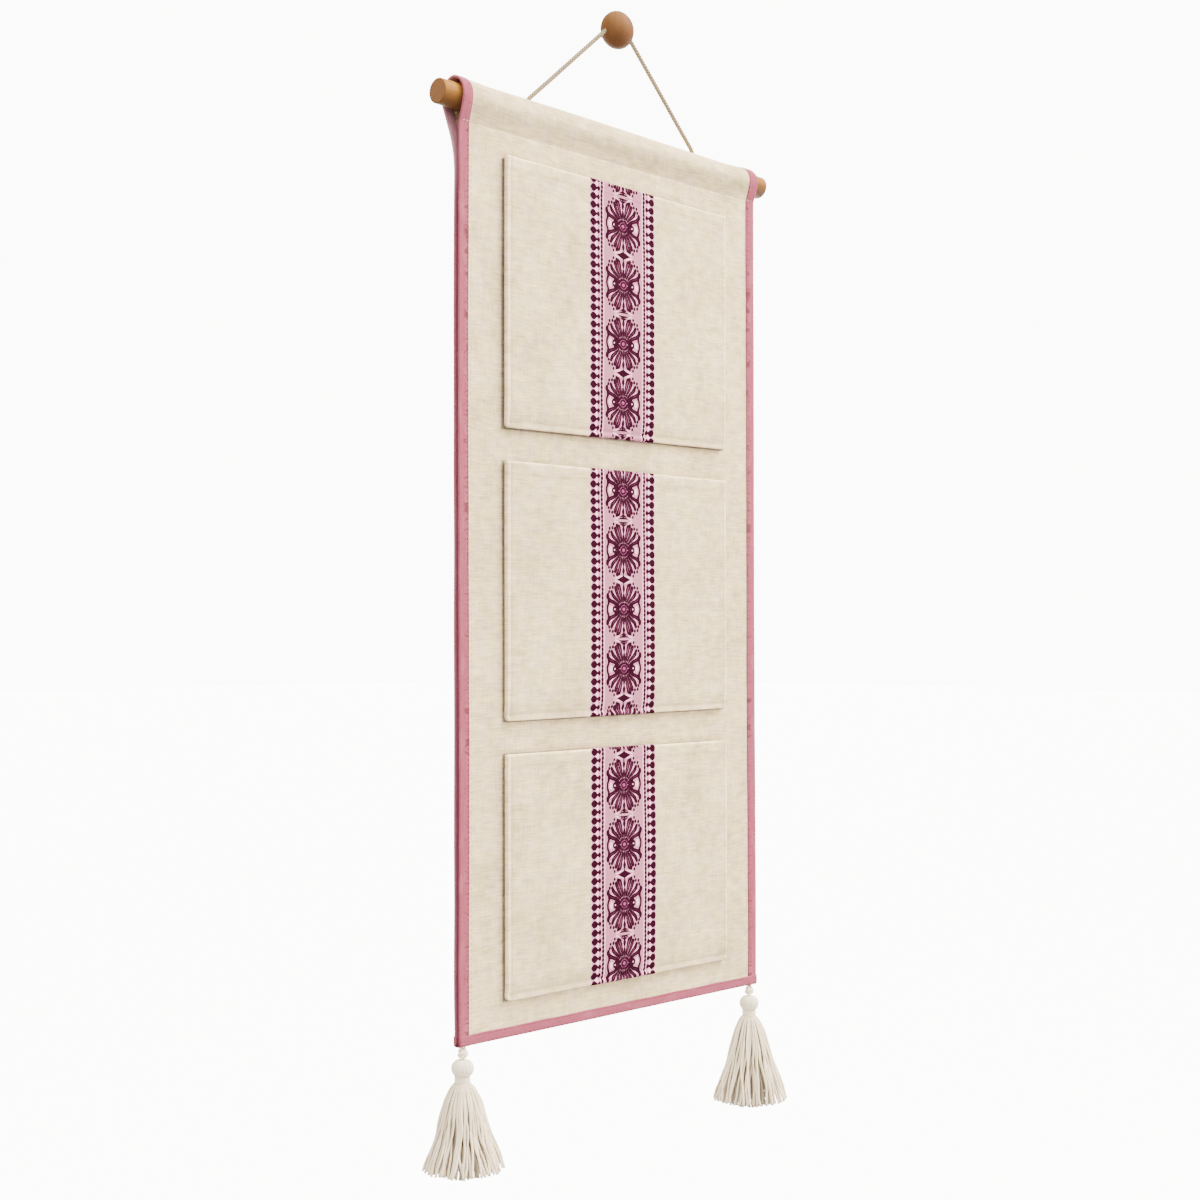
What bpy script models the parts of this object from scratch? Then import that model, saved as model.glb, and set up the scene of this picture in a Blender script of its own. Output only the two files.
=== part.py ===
"""Pocket wall hanging: one long linen cloth folded over a wooden dowel, bound with tape,
with three patch pockets, a woven ribbon down each pocket, a cord to a turned wall knob
and a cotton tassel at each lower corner.

Frame: +Z up, the front faces -Y, the wall is the plane y = 0. The origin is the centre of
the flat end of the knob's shank, where it meets the wall. Sizes are in metres.
"""

import math
import random

import bmesh
import bpy
from mathutils import Matrix, Vector

MM = 0.001

# ---- driving dimensions ------------------------------------------------------------------
CLOTH = 1.0 * MM                # thickness of every cloth
GAP = 0.3 * MM                  # clearance between touching pieces
HANG_WIDTH = 290.0 * MM         # over the side bindings
HANG_HEIGHT = 603.4 * MM        # top of the roll to the hem
TAPE_WIDTH = 8.2 * MM           # side binding that shows on each face
HEM_TAPE_WIDTH = 6.6 * MM       # bottom binding, taken in a little deeper

DOWEL_RADIUS = 8.0 * MM
DOWEL_OVERHANG = 12.4 * MM      # past each side edge
DOWEL_Y = -12.4 * MM            # axis, from the wall
DOWEL_Z = -77.0 * MM            # axis, below the knob's centre

SEAM_DROP = 16.4 * MM           # casing seam, below the dowel's axis
ROLL_PROUD = 4.2 * MM           # bound roll in front of the flat cloth
SPREAD_DROP = 35.4 * MM         # where the bound back edge comes in to its plane

KNOB_RADIUS = 12.4 * MM
KNOB_HALF_DEPTH = 10.2 * MM
KNOB_Y = -17.1 * MM             # ball's centre, from the wall: over the hanging's weight
SHANK_RADIUS = 3.2 * MM

CORD_RADIUS = 1.1 * MM
CORD_HOLE_RADIUS = 1.5 * MM
CORD_SPREAD = 82.0 * MM         # each cord hole, from the middle of the dowel
CORD_Y = -13.9 * MM             # cord holes, a little in front of the dowel's axis

POCKET_WIDTH = 216.0 * MM
POCKET_PROUD = 5.5 * MM         # face of a pocket, in front of the panel
POCKET_BELLY = 0.5 * MM         # extra fullness at its middle
POCKET_FOLD = 1.6 * MM          # radius of its folded edges
RIBBON_WIDTH = 63.6 * MM

# top and bottom edge of each pocket, below the top of the roll
POCKETS = (
    {"name": "1", "top": 43.8 * MM, "bottom": 215.0 * MM},
    {"name": "2", "top": 237.0 * MM, "bottom": 401.6 * MM},
    {"name": "3", "top": 423.6 * MM, "bottom": 580.0 * MM},
)

TASSEL_INSET = 4.8 * MM         # tassel's axis, in from the side edge
LOOP_DROP = 8.3 * MM            # hem to the top of the tassel's head
LOOP_RADIUS = 0.75 * MM
LOOP_HOLE_RADIUS = 1.05 * MM
LOOP_HALF_WIDTH = 1.9 * MM
LOOP_BELOW_HEM = 5.0 * MM
KNOT_SIZE = (3.2 * MM, 2.9 * MM, 3.0 * MM)
TAIL_DEPTH = 4.0 * MM           # the loop's tail inside the tassel's head

NECK_RADIUS = 4.0 * MM
NECK_TOP = 10.2 * MM            # below the head's top
NECK_BOTTOM = 14.6 * MM
ROOT_DEPTH = 16.0 * MM          # underside of the strands' backing, below the head's top
WRAP_RADIUS = 5.1 * MM
WRAP_TURNS = 4
HEAD_FLUTES = 16
FLUTE_DEPTH = 0.035             # share of the head's radius

# (radius, depth below the head's top) in millimetres: the tail's hole, the round head, the
# neck and the backing that the strands grow from
HEAD_PROFILE = (
    (0.0, 4.6), (1.1, 4.6), (1.1, 0.25), (2.4, 0.0), (4.8, 0.9), (6.3, 2.8), (6.9, 5.0),
    (6.4, 7.3), (5.3, 9.1), (4.0, 10.2), (4.0, 14.6), (4.9, 15.1), (4.9, 16.0), (0.0, 16.0),
)

SKIRT_LENGTH = 50.6 * MM
SKIRT_UNEVEN = 3.0 * MM         # most that a lock's cut end is short by
LOCK_ROOT_SIZE = 0.34 * MM      # half the thickness of a lock
LOCK_TIP_SIZE = 1.64 * MM
WALL_FLATTEN_START = 0.50       # share of a ring's radius where its rear begins to flatten
WALL_FLATTEN_SLOPE = 0.20

# one row for each ring of strands: how many, radius at the root, radius at the tip
STRAND_RINGS = (
    {"count": 8, "root": 1.5 * MM, "tip": 8.0 * MM},
    {"count": 16, "root": 2.7 * MM, "tip": 16.4 * MM},
    {"count": 24, "root": 3.9 * MM, "tip": 24.2 * MM},
)

# left half of the cord's route as (x, z) in millimetres, from its end in the dowel, up the
# taut arm, to the middle of the knob
CORD_HALF_ROUTE = (
    (-82.0, -76.4), (-82.0, -72.6), (-81.9, -69.2), (-81.3, -66.3), (-79.6, -63.9),
    (-76.0, -60.5), (-68.0, -53.2), (-54.0, -40.3), (-40.0, -27.4), (-26.0, -14.5),
    (-16.0, -5.3), (-12.4, -2.1), (-8.3, 0.8), (-4.2, 2.4), (0.0, 2.9),
)

LEAN_START = -66.3              # height where the cord starts to lean forward
LEAN_END = -2.1                 # and where it has come to the ball's own plane

# linear colours of the finishes
LINEN = (0.79, 0.71, 0.61)
PINK_TAPE = (0.63, 0.32, 0.35)
RIBBON_PINK = (0.55, 0.28, 0.38)
DOWEL_WOOD = (0.61, 0.34, 0.12)
KNOB_WOOD = (0.38, 0.15, 0.05)
CORD_BEIGE = (0.61, 0.52, 0.38)
COTTON = (0.77, 0.70, 0.58)

# ---- sizes that follow -------------------------------------------------------------------
BOUND_ROLL_RADIUS = DOWEL_RADIUS + 2 * GAP + 2 * CLOTH
BARE_ROLL_RADIUS = DOWEL_RADIUS + GAP + CLOTH
FRONT_Y = DOWEL_Y - BOUND_ROLL_RADIUS + ROLL_PROUD
BOUND_LAYERS = 4 * CLOTH + 3 * GAP               # front face to back face beside the tape
BARE_LAYERS = 2 * CLOTH + 0.4 * MM               # front face to back face in the middle
ROLL_TOP = DOWEL_Z + BOUND_ROLL_RADIUS
HEM_Z = ROLL_TOP - HANG_HEIGHT
SIDE_X = HANG_WIDTH / 2
TASSEL_Y = FRONT_Y + BOUND_LAYERS / 2
HEAD_TOP = HEM_Z - LOOP_DROP
CLOTH_INSET = CLOTH + 0.7 * MM                   # cloth's raw edge, in from the tape's fold

TOP_TO_HEM_STEPS = 6
CURVE_STEPS = 3
LINE_STEPS = 2
ROLL_STEPS = 18


# ---- scene helpers -----------------------------------------------------------------------
def clear_scene():
    for obj in list(bpy.data.objects):
        bpy.data.objects.remove(obj, do_unlink=True)


def new_collection(name):
    collection = bpy.data.collections.new(name)
    bpy.context.scene.collection.children.link(collection)
    return collection


def finish_material(name, colour, roughness):
    made = bpy.data.materials.new(name)
    made.use_nodes = True
    shader = made.node_tree.nodes["Principled BSDF"]
    shader.inputs["Base Color"].default_value = (*colour, 1.0)
    shader.inputs["Roughness"].default_value = roughness
    shader.inputs["Metallic"].default_value = 0.0
    return made


def add_piece(name, mesh_data, collection, colour, roughness):
    piece = bpy.data.objects.new(name, mesh_data)
    collection.objects.link(piece)
    piece.data.materials.append(finish_material(name, colour, roughness))
    return piece


def add_cutter(name, mesh_data, collection):
    cutter = bpy.data.objects.new(name, mesh_data)
    cutter.hide_render = True
    cutter.display_type = "WIRE"
    collection.objects.link(cutter)
    return cutter


def mesh_from(bm, name, smooth=True):
    data = bpy.data.meshes.new(name)
    bm.to_mesh(data)
    bm.free()
    if smooth:
        data.shade_smooth()
        data.set_sharp_from_angle(angle=math.radians(40))
    return data


def boolean(piece, tool, operation):
    modifier = piece.modifiers.new(operation.title() + " " + tool.name, "BOOLEAN")
    modifier.operation = operation
    modifier.object = tool
    modifier.solver = "EXACT"


def thicken(piece, thickness=CLOTH):
    modifier = piece.modifiers.new("Cloth thickness", "SOLIDIFY")
    modifier.thickness = thickness
    modifier.offset = -1.0
    modifier.use_even_offset = True


def shaped_grid(name, columns, rows, place):
    """A grid whose vertex in column i, row j goes to place(i, j)."""
    bm = bmesh.new()
    bmesh.ops.create_grid(bm, x_segments=columns, y_segments=rows, size=1.0)
    for vert in bm.verts:
        i = round((vert.co.x + 1) / 2 * columns)
        j = round((vert.co.y + 1) / 2 * rows)
        vert.co = place(i, j)
    bm.normal_update()
    return mesh_from(bm, name)


def tube_mesh(name, points, radius, cyclic=False):
    """A round tube along points, made with a bevelled curve and turned into a closed mesh."""
    curve = bpy.data.curves.new(name, "CURVE")
    curve.dimensions = "3D"
    curve.bevel_depth = radius
    curve.bevel_resolution = 2
    curve.use_fill_caps = not cyclic
    spline = curve.splines.new("POLY")
    spline.points.add(len(points) - 1)
    for target, point in zip(spline.points, points):
        target.co = (*point, 1.0)
    spline.use_cyclic_u = cyclic
    holder = bpy.data.objects.new(name + " curve", curve)
    bpy.context.scene.collection.objects.link(holder)
    bpy.context.view_layer.update()
    evaluated = holder.evaluated_get(bpy.context.evaluated_depsgraph_get())
    data = bpy.data.meshes.new_from_object(evaluated)
    data.name = name
    bm = bmesh.new()
    bm.from_mesh(data)
    bmesh.ops.remove_doubles(bm, verts=bm.verts, dist=0.00001)
    bm.to_mesh(data)
    bm.free()
    data.materials.clear()
    bpy.data.objects.remove(holder, do_unlink=True)
    return data


def turned_mesh(name, profile, steps):
    """A profile of (radius, height) turned about Z with a Screw modifier."""
    bm = bmesh.new()
    verts = [bm.verts.new((radius, 0.0, height)) for radius, height in profile]
    for first, second in zip(verts, verts[1:]):
        bm.edges.new((first, second))
    holder = bpy.data.objects.new(name + " profile", mesh_from(bm, name, smooth=False))
    bpy.context.scene.collection.objects.link(holder)
    screw = holder.modifiers.new("Turn", "SCREW")
    screw.axis = "Z"
    screw.angle = math.tau
    screw.steps = steps
    screw.render_steps = steps
    screw.use_merge_vertices = True
    screw.merge_threshold = 0.00001
    bpy.context.view_layer.update()
    evaluated = holder.evaluated_get(bpy.context.evaluated_depsgraph_get())
    data = bpy.data.meshes.new_from_object(evaluated)
    data.name = name
    data.shade_smooth()
    data.set_sharp_from_angle(angle=math.radians(40))
    bpy.data.objects.remove(holder, do_unlink=True)
    return data


def smooth_route(points, spacing):
    """Points about one spacing apart on a smooth curve through the route's own points."""
    route = []
    last = len(points) - 1
    for index in range(last):
        before = points[max(index - 1, 0)]
        start = points[index]
        end = points[index + 1]
        after = points[min(index + 2, last)]
        steps = max(1, round((end - start).length / spacing))
        for step in range(steps):
            t = step / steps
            route.append(0.5 * (2 * start + (end - before) * t
                                + (2 * before - 5 * start + 4 * end - after) * t ** 2
                                + (3 * start - before - 3 * end + after) * t ** 3))
    route.append(points[last])
    return route


# ---- the folded cloth --------------------------------------------------------------------
def rounded_corner(before, corner, after, reach):
    """Points of a soft bend at corner, from reach before it to reach after it."""
    start = corner + (before - corner).normalized() * reach
    end = corner + (after - corner).normalized() * reach
    bend = []
    for step in range(CURVE_STEPS + 1):
        t = step / CURVE_STEPS
        bend.append(start * (1 - t) ** 2 + corner * 2 * t * (1 - t) + end * t ** 2)
    return bend


def between(start, end, steps):
    """The points after start, up to and including end."""
    return [start.lerp(end, (step + 1) / steps) for step in range(steps)]


def fold_line(radius, layers, back_corner_z):
    """Outer face of the cloth as (y, z): up the front, over the dowel, down the back."""
    centre = Vector((DOWEL_Y, DOWEL_Z))
    front_corner = Vector((FRONT_Y, DOWEL_Z - SEAM_DROP))
    back_corner = Vector((FRONT_Y + layers, back_corner_z))
    to_front = front_corner - centre
    to_back = back_corner - centre
    leave_front = (math.atan2(to_front.y, to_front.x) + math.tau
                   - math.acos(radius / to_front.length))
    reach_back = math.atan2(to_back.y, to_back.x) + math.acos(radius / to_back.length)
    arc = []
    for step in range(ROLL_STEPS + 1):
        angle = leave_front + (reach_back - leave_front) * step / ROLL_STEPS
        arc.append(centre + Vector((math.cos(angle), math.sin(angle))) * radius)
    lowest = HEM_Z + CLOTH + GAP
    front_end = Vector((FRONT_Y, lowest))
    back_end = Vector((FRONT_Y + layers, lowest))
    bend_reach = 4.0 * MM
    front_bend = rounded_corner(front_end, front_corner, arc[0], bend_reach)
    back_bend = rounded_corner(arc[-1], back_corner, back_end, bend_reach)
    line = [front_end]
    line += between(front_end, front_bend[0], TOP_TO_HEM_STEPS)
    line += front_bend[1:]
    line += between(front_bend[-1], arc[0], LINE_STEPS)
    line += arc[1:]
    line += between(arc[-1], back_bend[0], LINE_STEPS)
    line += back_bend[1:]
    line += between(back_bend[-1], back_end, TOP_TO_HEM_STEPS)
    return line


def bound_fold_line():
    return fold_line(BOUND_ROLL_RADIUS, BOUND_LAYERS, DOWEL_Z - SPREAD_DROP)


def bare_fold_line():
    return fold_line(BARE_ROLL_RADIUS, BARE_LAYERS, DOWEL_Z - SEAM_DROP)


def outward_normals(line):
    normals = []
    for index in range(len(line)):
        ahead = line[min(index + 1, len(line) - 1)]
        behind = line[max(index - 1, 0)]
        run = (ahead - behind).normalized()
        normals.append(Vector((-run.y, run.x)))
    return normals


def openness(x):
    """0 beside the side tapes, where the layers stand apart, to 1 in the bare middle."""
    inner_edge = SIDE_X - TAPE_WIDTH - 2.0 * MM
    reach = 20.0 * MM
    t = min(max((inner_edge - abs(x)) / reach, 0.0), 1.0)
    return t * t * (3 - 2 * t)


def width_stations():
    """X of the cloth's columns: close together beside the tapes, wide in the middle."""
    half = [SIDE_X - CLOTH_INSET]
    half += [SIDE_X - TAPE_WIDTH - (2.0 + 4.0 * step) * MM for step in range(6)]
    half += [80.0 * MM, 40.0 * MM]
    return [-x for x in half] + [0.0] + half[::-1]


def make_panel(parts, cutters, colour):
    bound = bound_fold_line()
    bare = bare_fold_line()
    stations = width_stations()

    def place(i, j):
        point = bound[j].lerp(bare[j], openness(stations[i]))
        return Vector((stations[i], point.x, point.y))

    data = shaped_grid("panel", len(stations) - 1, len(bound) - 1, place)
    panel = add_piece("panel", data, parts, colour, 0.9)
    thicken(panel)
    top = DOWEL_Z + DOWEL_RADIUS
    bm = bmesh.new()
    for side in (-1, 1):
        where = Matrix.Translation((side * CORD_SPREAD, CORD_Y, top))
        bmesh.ops.create_cone(bm, cap_ends=True, segments=12, radius1=CORD_HOLE_RADIUS,
                              radius2=CORD_HOLE_RADIUS, depth=10 * MM, matrix=where)
    boolean(panel, add_cutter("cord holes in cloth", mesh_from(bm, "holes"), cutters),
            "DIFFERENCE")


# ---- bindings ----------------------------------------------------------------------------
def tape_section(slot_inner, slot_outer):
    """Outside of a folded tape as (distance in from the fold, height off the cloth's face)."""
    high = slot_outer + CLOTH
    low = slot_inner - CLOTH
    radius = (high - low) / 2
    middle = (high + low) / 2
    section = [(TAPE_WIDTH, low)]
    steps = 6
    for step in range(steps + 1):
        angle = math.pi * (step / steps - 0.5)
        section.append((radius - radius * math.cos(angle), middle + radius * math.sin(angle)))
    section.append((TAPE_WIDTH, high))
    return section


def make_side_binding(name, side, parts, colour):
    line = bound_fold_line()
    normals = outward_normals(line)
    lowest = HEM_Z + HEM_TAPE_WIDTH + GAP
    line[0] = Vector((line[0].x, lowest))
    line[-1] = Vector((line[-1].x, lowest))
    section = tape_section(-CLOTH - GAP, GAP)
    if side > 0:
        section = section[::-1]

    def place(i, j):
        inward, height = section[i]
        point = line[j] + normals[j] * height
        return Vector((side * (SIDE_X - inward), point.x, point.y))

    data = shaped_grid(name, len(section) - 1, len(line) - 1, place)
    thicken(add_piece(name, data, parts, colour, 0.85))


def make_bottom_binding(parts, cutters, colour):
    stations = width_stations()
    stations[0] = -SIDE_X
    stations[-1] = SIDE_X
    corner = CLOTH + 0.8 * MM
    corner_steps = 3

    def section_at(x):
        layers = BOUND_LAYERS + (BARE_LAYERS - BOUND_LAYERS) * openness(x)
        front = FRONT_Y - GAP - CLOTH
        back = FRONT_Y + layers + GAP + CLOTH
        top = HEM_Z + HEM_TAPE_WIDTH
        section = [(back, top)]
        for step in range(corner_steps + 1):
            angle = math.pi / 2 * step / corner_steps
            section.append((back - corner + corner * math.cos(angle),
                            HEM_Z + corner - corner * math.sin(angle)))
        for step in range(corner_steps + 1):
            angle = math.pi / 2 * step / corner_steps
            section.append((front + corner - corner * math.sin(angle),
                            HEM_Z + corner - corner * math.cos(angle)))
        section.append((front, top))
        return section

    sections = [section_at(x) for x in stations]

    def place(i, j):
        y, z = sections[i][j]
        return Vector((stations[i], y, z))

    data = shaped_grid("binding_bottom", len(stations) - 1, len(sections[0]) - 1, place)
    binding = add_piece("binding_bottom", data, parts, colour, 0.85)
    thicken(binding)
    bm = bmesh.new()
    for side in (-1, 1):
        for leg in (-1, 1):
            where = Matrix.Translation((side * (SIDE_X - TASSEL_INSET) + leg * LOOP_HALF_WIDTH,
                                        TASSEL_Y, HEM_Z))
            bmesh.ops.create_cone(bm, cap_ends=True, segments=10, radius1=LOOP_HOLE_RADIUS,
                                  radius2=LOOP_HOLE_RADIUS, depth=4 * MM, matrix=where)
    boolean(binding, add_cutter("loop holes in hem", mesh_from(bm, "holes"), cutters),
            "DIFFERENCE")


# ---- pockets and ribbons -----------------------------------------------------------------
def pocket_fullness(x, z, low, high):
    """How far the pocket's face swells forward at x, z."""
    across = math.cos(math.pi * x / POCKET_WIDTH)
    up = math.sin(math.pi * (z - low) / (high - low))
    return POCKET_BELLY * max(across, 0.0) * max(up, 0.0)


def make_pocket(row, parts, colour):
    """The face and its turned-in sides and bottom; the top is the open mouth."""
    name = "pocket_" + row["name"]
    high = ROLL_TOP - row["top"]
    low = ROLL_TOP - row["bottom"]
    face_y = FRONT_Y - POCKET_PROUD
    columns = 8
    rows = 5

    def place(i, j):
        x = POCKET_WIDTH * (i / columns - 0.5)
        z = low + (high - low) * j / rows
        return Vector((x, face_y - pocket_fullness(x, z, low, high), z))

    bm = bmesh.new()
    bm.from_mesh(shaped_grid(name, columns, rows, place))
    tiny = 0.01 * MM
    rim = [edge for edge in bm.edges if edge.is_boundary
           and not all(vert.co.z > high - tiny for vert in edge.verts)]
    made = bmesh.ops.extrude_edge_only(bm, edges=rim)["geom"]
    wall_foot = FRONT_Y - GAP
    for vert in made:
        if isinstance(vert, bmesh.types.BMVert):
            vert.co.y = wall_foot
    bm.normal_update()
    corners = [edge for edge in bm.edges if len(edge.link_faces) == 2
               and edge.calc_face_angle() > math.radians(60)]
    bmesh.ops.bevel(bm, geom=corners, offset=POCKET_FOLD, offset_type="OFFSET", segments=3,
                    profile=0.5, affect="EDGES", material=-1)
    thicken(add_piece(name, mesh_from(bm, name), parts, colour, 0.9))


def make_ribbon(row, parts, colour):
    name = "ribbon_" + row["name"]
    high = ROLL_TOP - row["top"]
    low = ROLL_TOP - row["bottom"]
    lowest = low + 1.8 * MM
    columns = 4
    rows = 5

    def place(i, j):
        x = RIBBON_WIDTH * (i / columns - 0.5)
        z = max(low + (high - low) * j / rows, lowest)
        y = FRONT_Y - POCKET_PROUD - pocket_fullness(x, z, low, high) - GAP - CLOTH
        return Vector((x, y, z))

    data = shaped_grid(name, columns, rows, place)
    thicken(add_piece(name, data, parts, colour, 0.7))


# ---- dowel, knob and cord ----------------------------------------------------------------
def make_dowel(parts, cutters, colour):
    bm = bmesh.new()
    along_x = Matrix.Translation((0, DOWEL_Y, DOWEL_Z)) @ Matrix.Rotation(math.pi / 2, 4, "Y")
    bmesh.ops.create_cone(bm, cap_ends=True, segments=32, radius1=DOWEL_RADIUS,
                          radius2=DOWEL_RADIUS, depth=HANG_WIDTH + 2 * DOWEL_OVERHANG,
                          matrix=along_x)
    rims = [edge for edge in bm.edges if edge.calc_face_angle() > math.radians(60)]
    bmesh.ops.bevel(bm, geom=rims, offset=0.4 * MM, offset_type="OFFSET", segments=1,
                    profile=0.5, affect="EDGES", material=-1)
    dowel = add_piece("dowel", mesh_from(bm, "dowel"), parts, colour, 0.55)
    bm = bmesh.new()
    for side in (-1, 1):
        where = Matrix.Translation((side * CORD_SPREAD, CORD_Y, DOWEL_Z + DOWEL_RADIUS))
        bmesh.ops.create_cone(bm, cap_ends=True, segments=12, radius1=CORD_HOLE_RADIUS,
                              radius2=CORD_HOLE_RADIUS, depth=2 * DOWEL_RADIUS, matrix=where)
    boolean(dowel, add_cutter("cord holes in dowel", mesh_from(bm, "holes"), cutters),
            "DIFFERENCE")


def cord_route():
    """The whole route; above the roll the cord leans forward to the ball's centre."""
    half = []
    for x, z in CORD_HALF_ROUTE:
        risen = min(max((z - LEAN_START) / (LEAN_END - LEAN_START), 0.0), 1.0)
        half.append(Vector((x * MM, CORD_Y + (KNOB_Y - CORD_Y) * risen, z * MM)))
    other = [Vector((-point.x, point.y, point.z)) for point in half[-2::-1]]
    return half + other


def make_cord(parts, colour):
    points = smooth_route(cord_route(), 2.5 * 2 * CORD_RADIUS)
    add_piece("hanging_cord", tube_mesh("hanging_cord", points, CORD_RADIUS), parts, colour, 0.9)


def make_knob(parts, cutters, colour):
    """A flattened ball on a short shank, turned about Y, drilled across for the cord."""
    steps = 12
    shank_top = -KNOB_Y
    meet = math.asin(SHANK_RADIUS / KNOB_RADIUS)
    profile = []
    for step in range(steps + 1):
        angle = (math.pi - meet) * step / steps
        profile.append((KNOB_RADIUS * math.sin(angle), KNOB_HALF_DEPTH * math.cos(angle)))
    profile[0] = (0.0, KNOB_HALF_DEPTH)
    profile += [(SHANK_RADIUS, -shank_top), (0.0, -shank_top)]
    knob = add_piece("knob", turned_mesh("knob", profile, 32), parts, colour, 0.45)
    knob.location = (0.0, KNOB_Y, 0.0)
    knob.rotation_euler = (math.pi / 2, 0.0, 0.0)
    near_knob = 22 * MM
    arch = [point for point in smooth_route(cord_route(), 2.5 * MM) if abs(point.x) < near_knob]
    cutter = add_cutter("cord hole in knob", tube_mesh("hole", arch, CORD_HOLE_RADIUS), cutters)
    boolean(knob, cutter, "DIFFERENCE")


# ---- tassels -----------------------------------------------------------------------------
def flatten_at_wall(offset, fallen):
    """Draws the rear of a ring of strands in, more the further they have fallen (0 to 1)."""
    start = WALL_FLATTEN_START * offset.length
    slope = 1 - (1 - WALL_FLATTEN_SLOPE) * min(2 * fallen, 1.0)
    if offset.y > start:
        return Vector((offset.x, start + (offset.y - start) * slope, 0))
    return offset


def strand_rows(ring, rng):
    """One tuple for each strand in a ring: heading, tip radius, length."""
    rows = []
    for index in range(ring["count"]):
        heading = math.tau * (index + rng.uniform(-0.06, 0.06)) / ring["count"]
        tip = ring["tip"] * rng.uniform(0.965, 1.0)
        length = SKIRT_LENGTH - rng.uniform(0.0, SKIRT_UNEVEN)
        rows.append((heading, tip, length))
    return rows


def strand_mesh(ring, heading, tip, length):
    """A four-sided lock that thickens and leans out from its root to its cut end."""
    bm = bmesh.new()
    bmesh.ops.create_cone(bm, cap_ends=True, segments=4, radius1=1.0, radius2=1.0, depth=1.0)
    rising = [edge for edge in bm.edges
              if abs(edge.verts[0].co.z - edge.verts[1].co.z) > 0.5]
    bmesh.ops.subdivide_edges(bm, edges=rising, cuts=4)
    out = Vector((math.cos(heading), math.sin(heading), 0))
    along = Vector((out.y, -out.x, 0))
    root_rise = 1.2 * MM
    for vert in bm.verts:
        t = 0.5 - vert.co.z
        half_size = LOCK_ROOT_SIZE + (LOCK_TIP_SIZE - LOCK_ROOT_SIZE) * t ** 0.8
        radius = ring["root"] + (tip - ring["root"]) * t ** 0.75
        middle = flatten_at_wall(out * radius, t)
        side = (out * vert.co.x + along * vert.co.y) * half_size
        down = Vector((0, 0, root_rise - ROOT_DEPTH - t * (length + root_rise)))
        vert.co = middle + side + down
    return mesh_from(bm, "strand")


def make_tassel(name, x, parts, cutters, colour, seed):
    profile = [(radius * MM, -depth * MM) for radius, depth in HEAD_PROFILE]
    head = turned_mesh(name, profile, 2 * HEAD_FLUTES)
    for vert in head.vertices:
        radius = math.hypot(vert.co.x, vert.co.y)
        if radius > NECK_RADIUS + 0.1 * MM and vert.co.z > -NECK_TOP:
            angle = math.atan2(vert.co.y, vert.co.x)
            ridge = 1.0 + FLUTE_DEPTH * math.cos(HEAD_FLUTES * angle)
            vert.co.x *= ridge
            vert.co.y *= ridge
    where = Matrix.Translation((x, TASSEL_Y, HEAD_TOP))
    head.transform(where)
    tassel = add_piece(name, head, parts, colour, 0.95)
    rng = random.Random(seed)
    bm = bmesh.new()
    for ring in STRAND_RINGS:
        for heading, tip, length in strand_rows(ring, rng):
            strand = strand_mesh(ring, heading, tip, length)
            bm.from_mesh(strand)
            bpy.data.meshes.remove(strand)
    bm.transform(where)
    boolean(tassel, add_cutter(name + " strands", mesh_from(bm, "strands"), cutters), "UNION")


def make_wrap(name, x, parts, colour):
    """Yarn wound round the neck: a ring whose outer side has one ridge for each turn."""
    inner = NECK_RADIUS + GAP
    top = NECK_TOP + GAP
    bottom = NECK_BOTTOM - GAP
    groove = 0.35 * MM
    profile = [(inner, -top)]
    for step in range(2 * WRAP_TURNS + 1):
        radius = WRAP_RADIUS if step % 2 else WRAP_RADIUS - groove
        profile.append((radius, -(top + (bottom - top) * step / (2 * WRAP_TURNS))))
    profile += [(inner, -bottom), (inner, -top)]
    data = turned_mesh(name, profile, 24)
    data.transform(Matrix.Translation((x, TASSEL_Y, HEAD_TOP)))
    add_piece(name, data, parts, colour, 0.95)


def make_loop(name, x, parts, cutters, colour):
    """The loop through the hem, its knot, and the tail that goes into the tassel's head."""
    top = HEM_Z + CLOTH + GAP + LOOP_RADIUS
    bottom = HEM_Z - LOOP_BELOW_HEM
    height = (top - bottom) / 2
    steps = 20
    ring = []
    for step in range(steps):
        angle = math.tau * step / steps
        # a squared oval: straight legs and a flat top inside the hem
        across = math.copysign(abs(math.cos(angle)) ** 0.55, math.cos(angle))
        up = math.copysign(abs(math.sin(angle)) ** 0.75, math.sin(angle))
        ring.append(Vector((x + LOOP_HALF_WIDTH * across, TASSEL_Y, bottom + height * (1 + up))))
    loop = add_piece(name, tube_mesh(name, ring, LOOP_RADIUS, cyclic=True), parts, colour, 0.95)
    knot_centre = HEAD_TOP + GAP + KNOT_SIZE[2]
    bm = bmesh.new()
    bmesh.ops.create_uvsphere(bm, u_segments=14, v_segments=8, radius=1.0)
    bmesh.ops.scale(bm, vec=KNOT_SIZE, verts=bm.verts)
    bmesh.ops.translate(bm, vec=(x, TASSEL_Y, knot_centre), verts=bm.verts)
    boolean(loop, add_cutter(name + " knot", mesh_from(bm, "knot"), cutters), "UNION")
    bm = bmesh.new()
    tail_length = knot_centre - HEAD_TOP + TAIL_DEPTH
    where = Matrix.Translation((x, TASSEL_Y, knot_centre - tail_length / 2))
    bmesh.ops.create_cone(bm, cap_ends=True, segments=8, radius1=LOOP_RADIUS,
                          radius2=LOOP_RADIUS, depth=tail_length, matrix=where)
    boolean(loop, add_cutter(name + " tail", mesh_from(bm, "tail"), cutters), "UNION")


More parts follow.
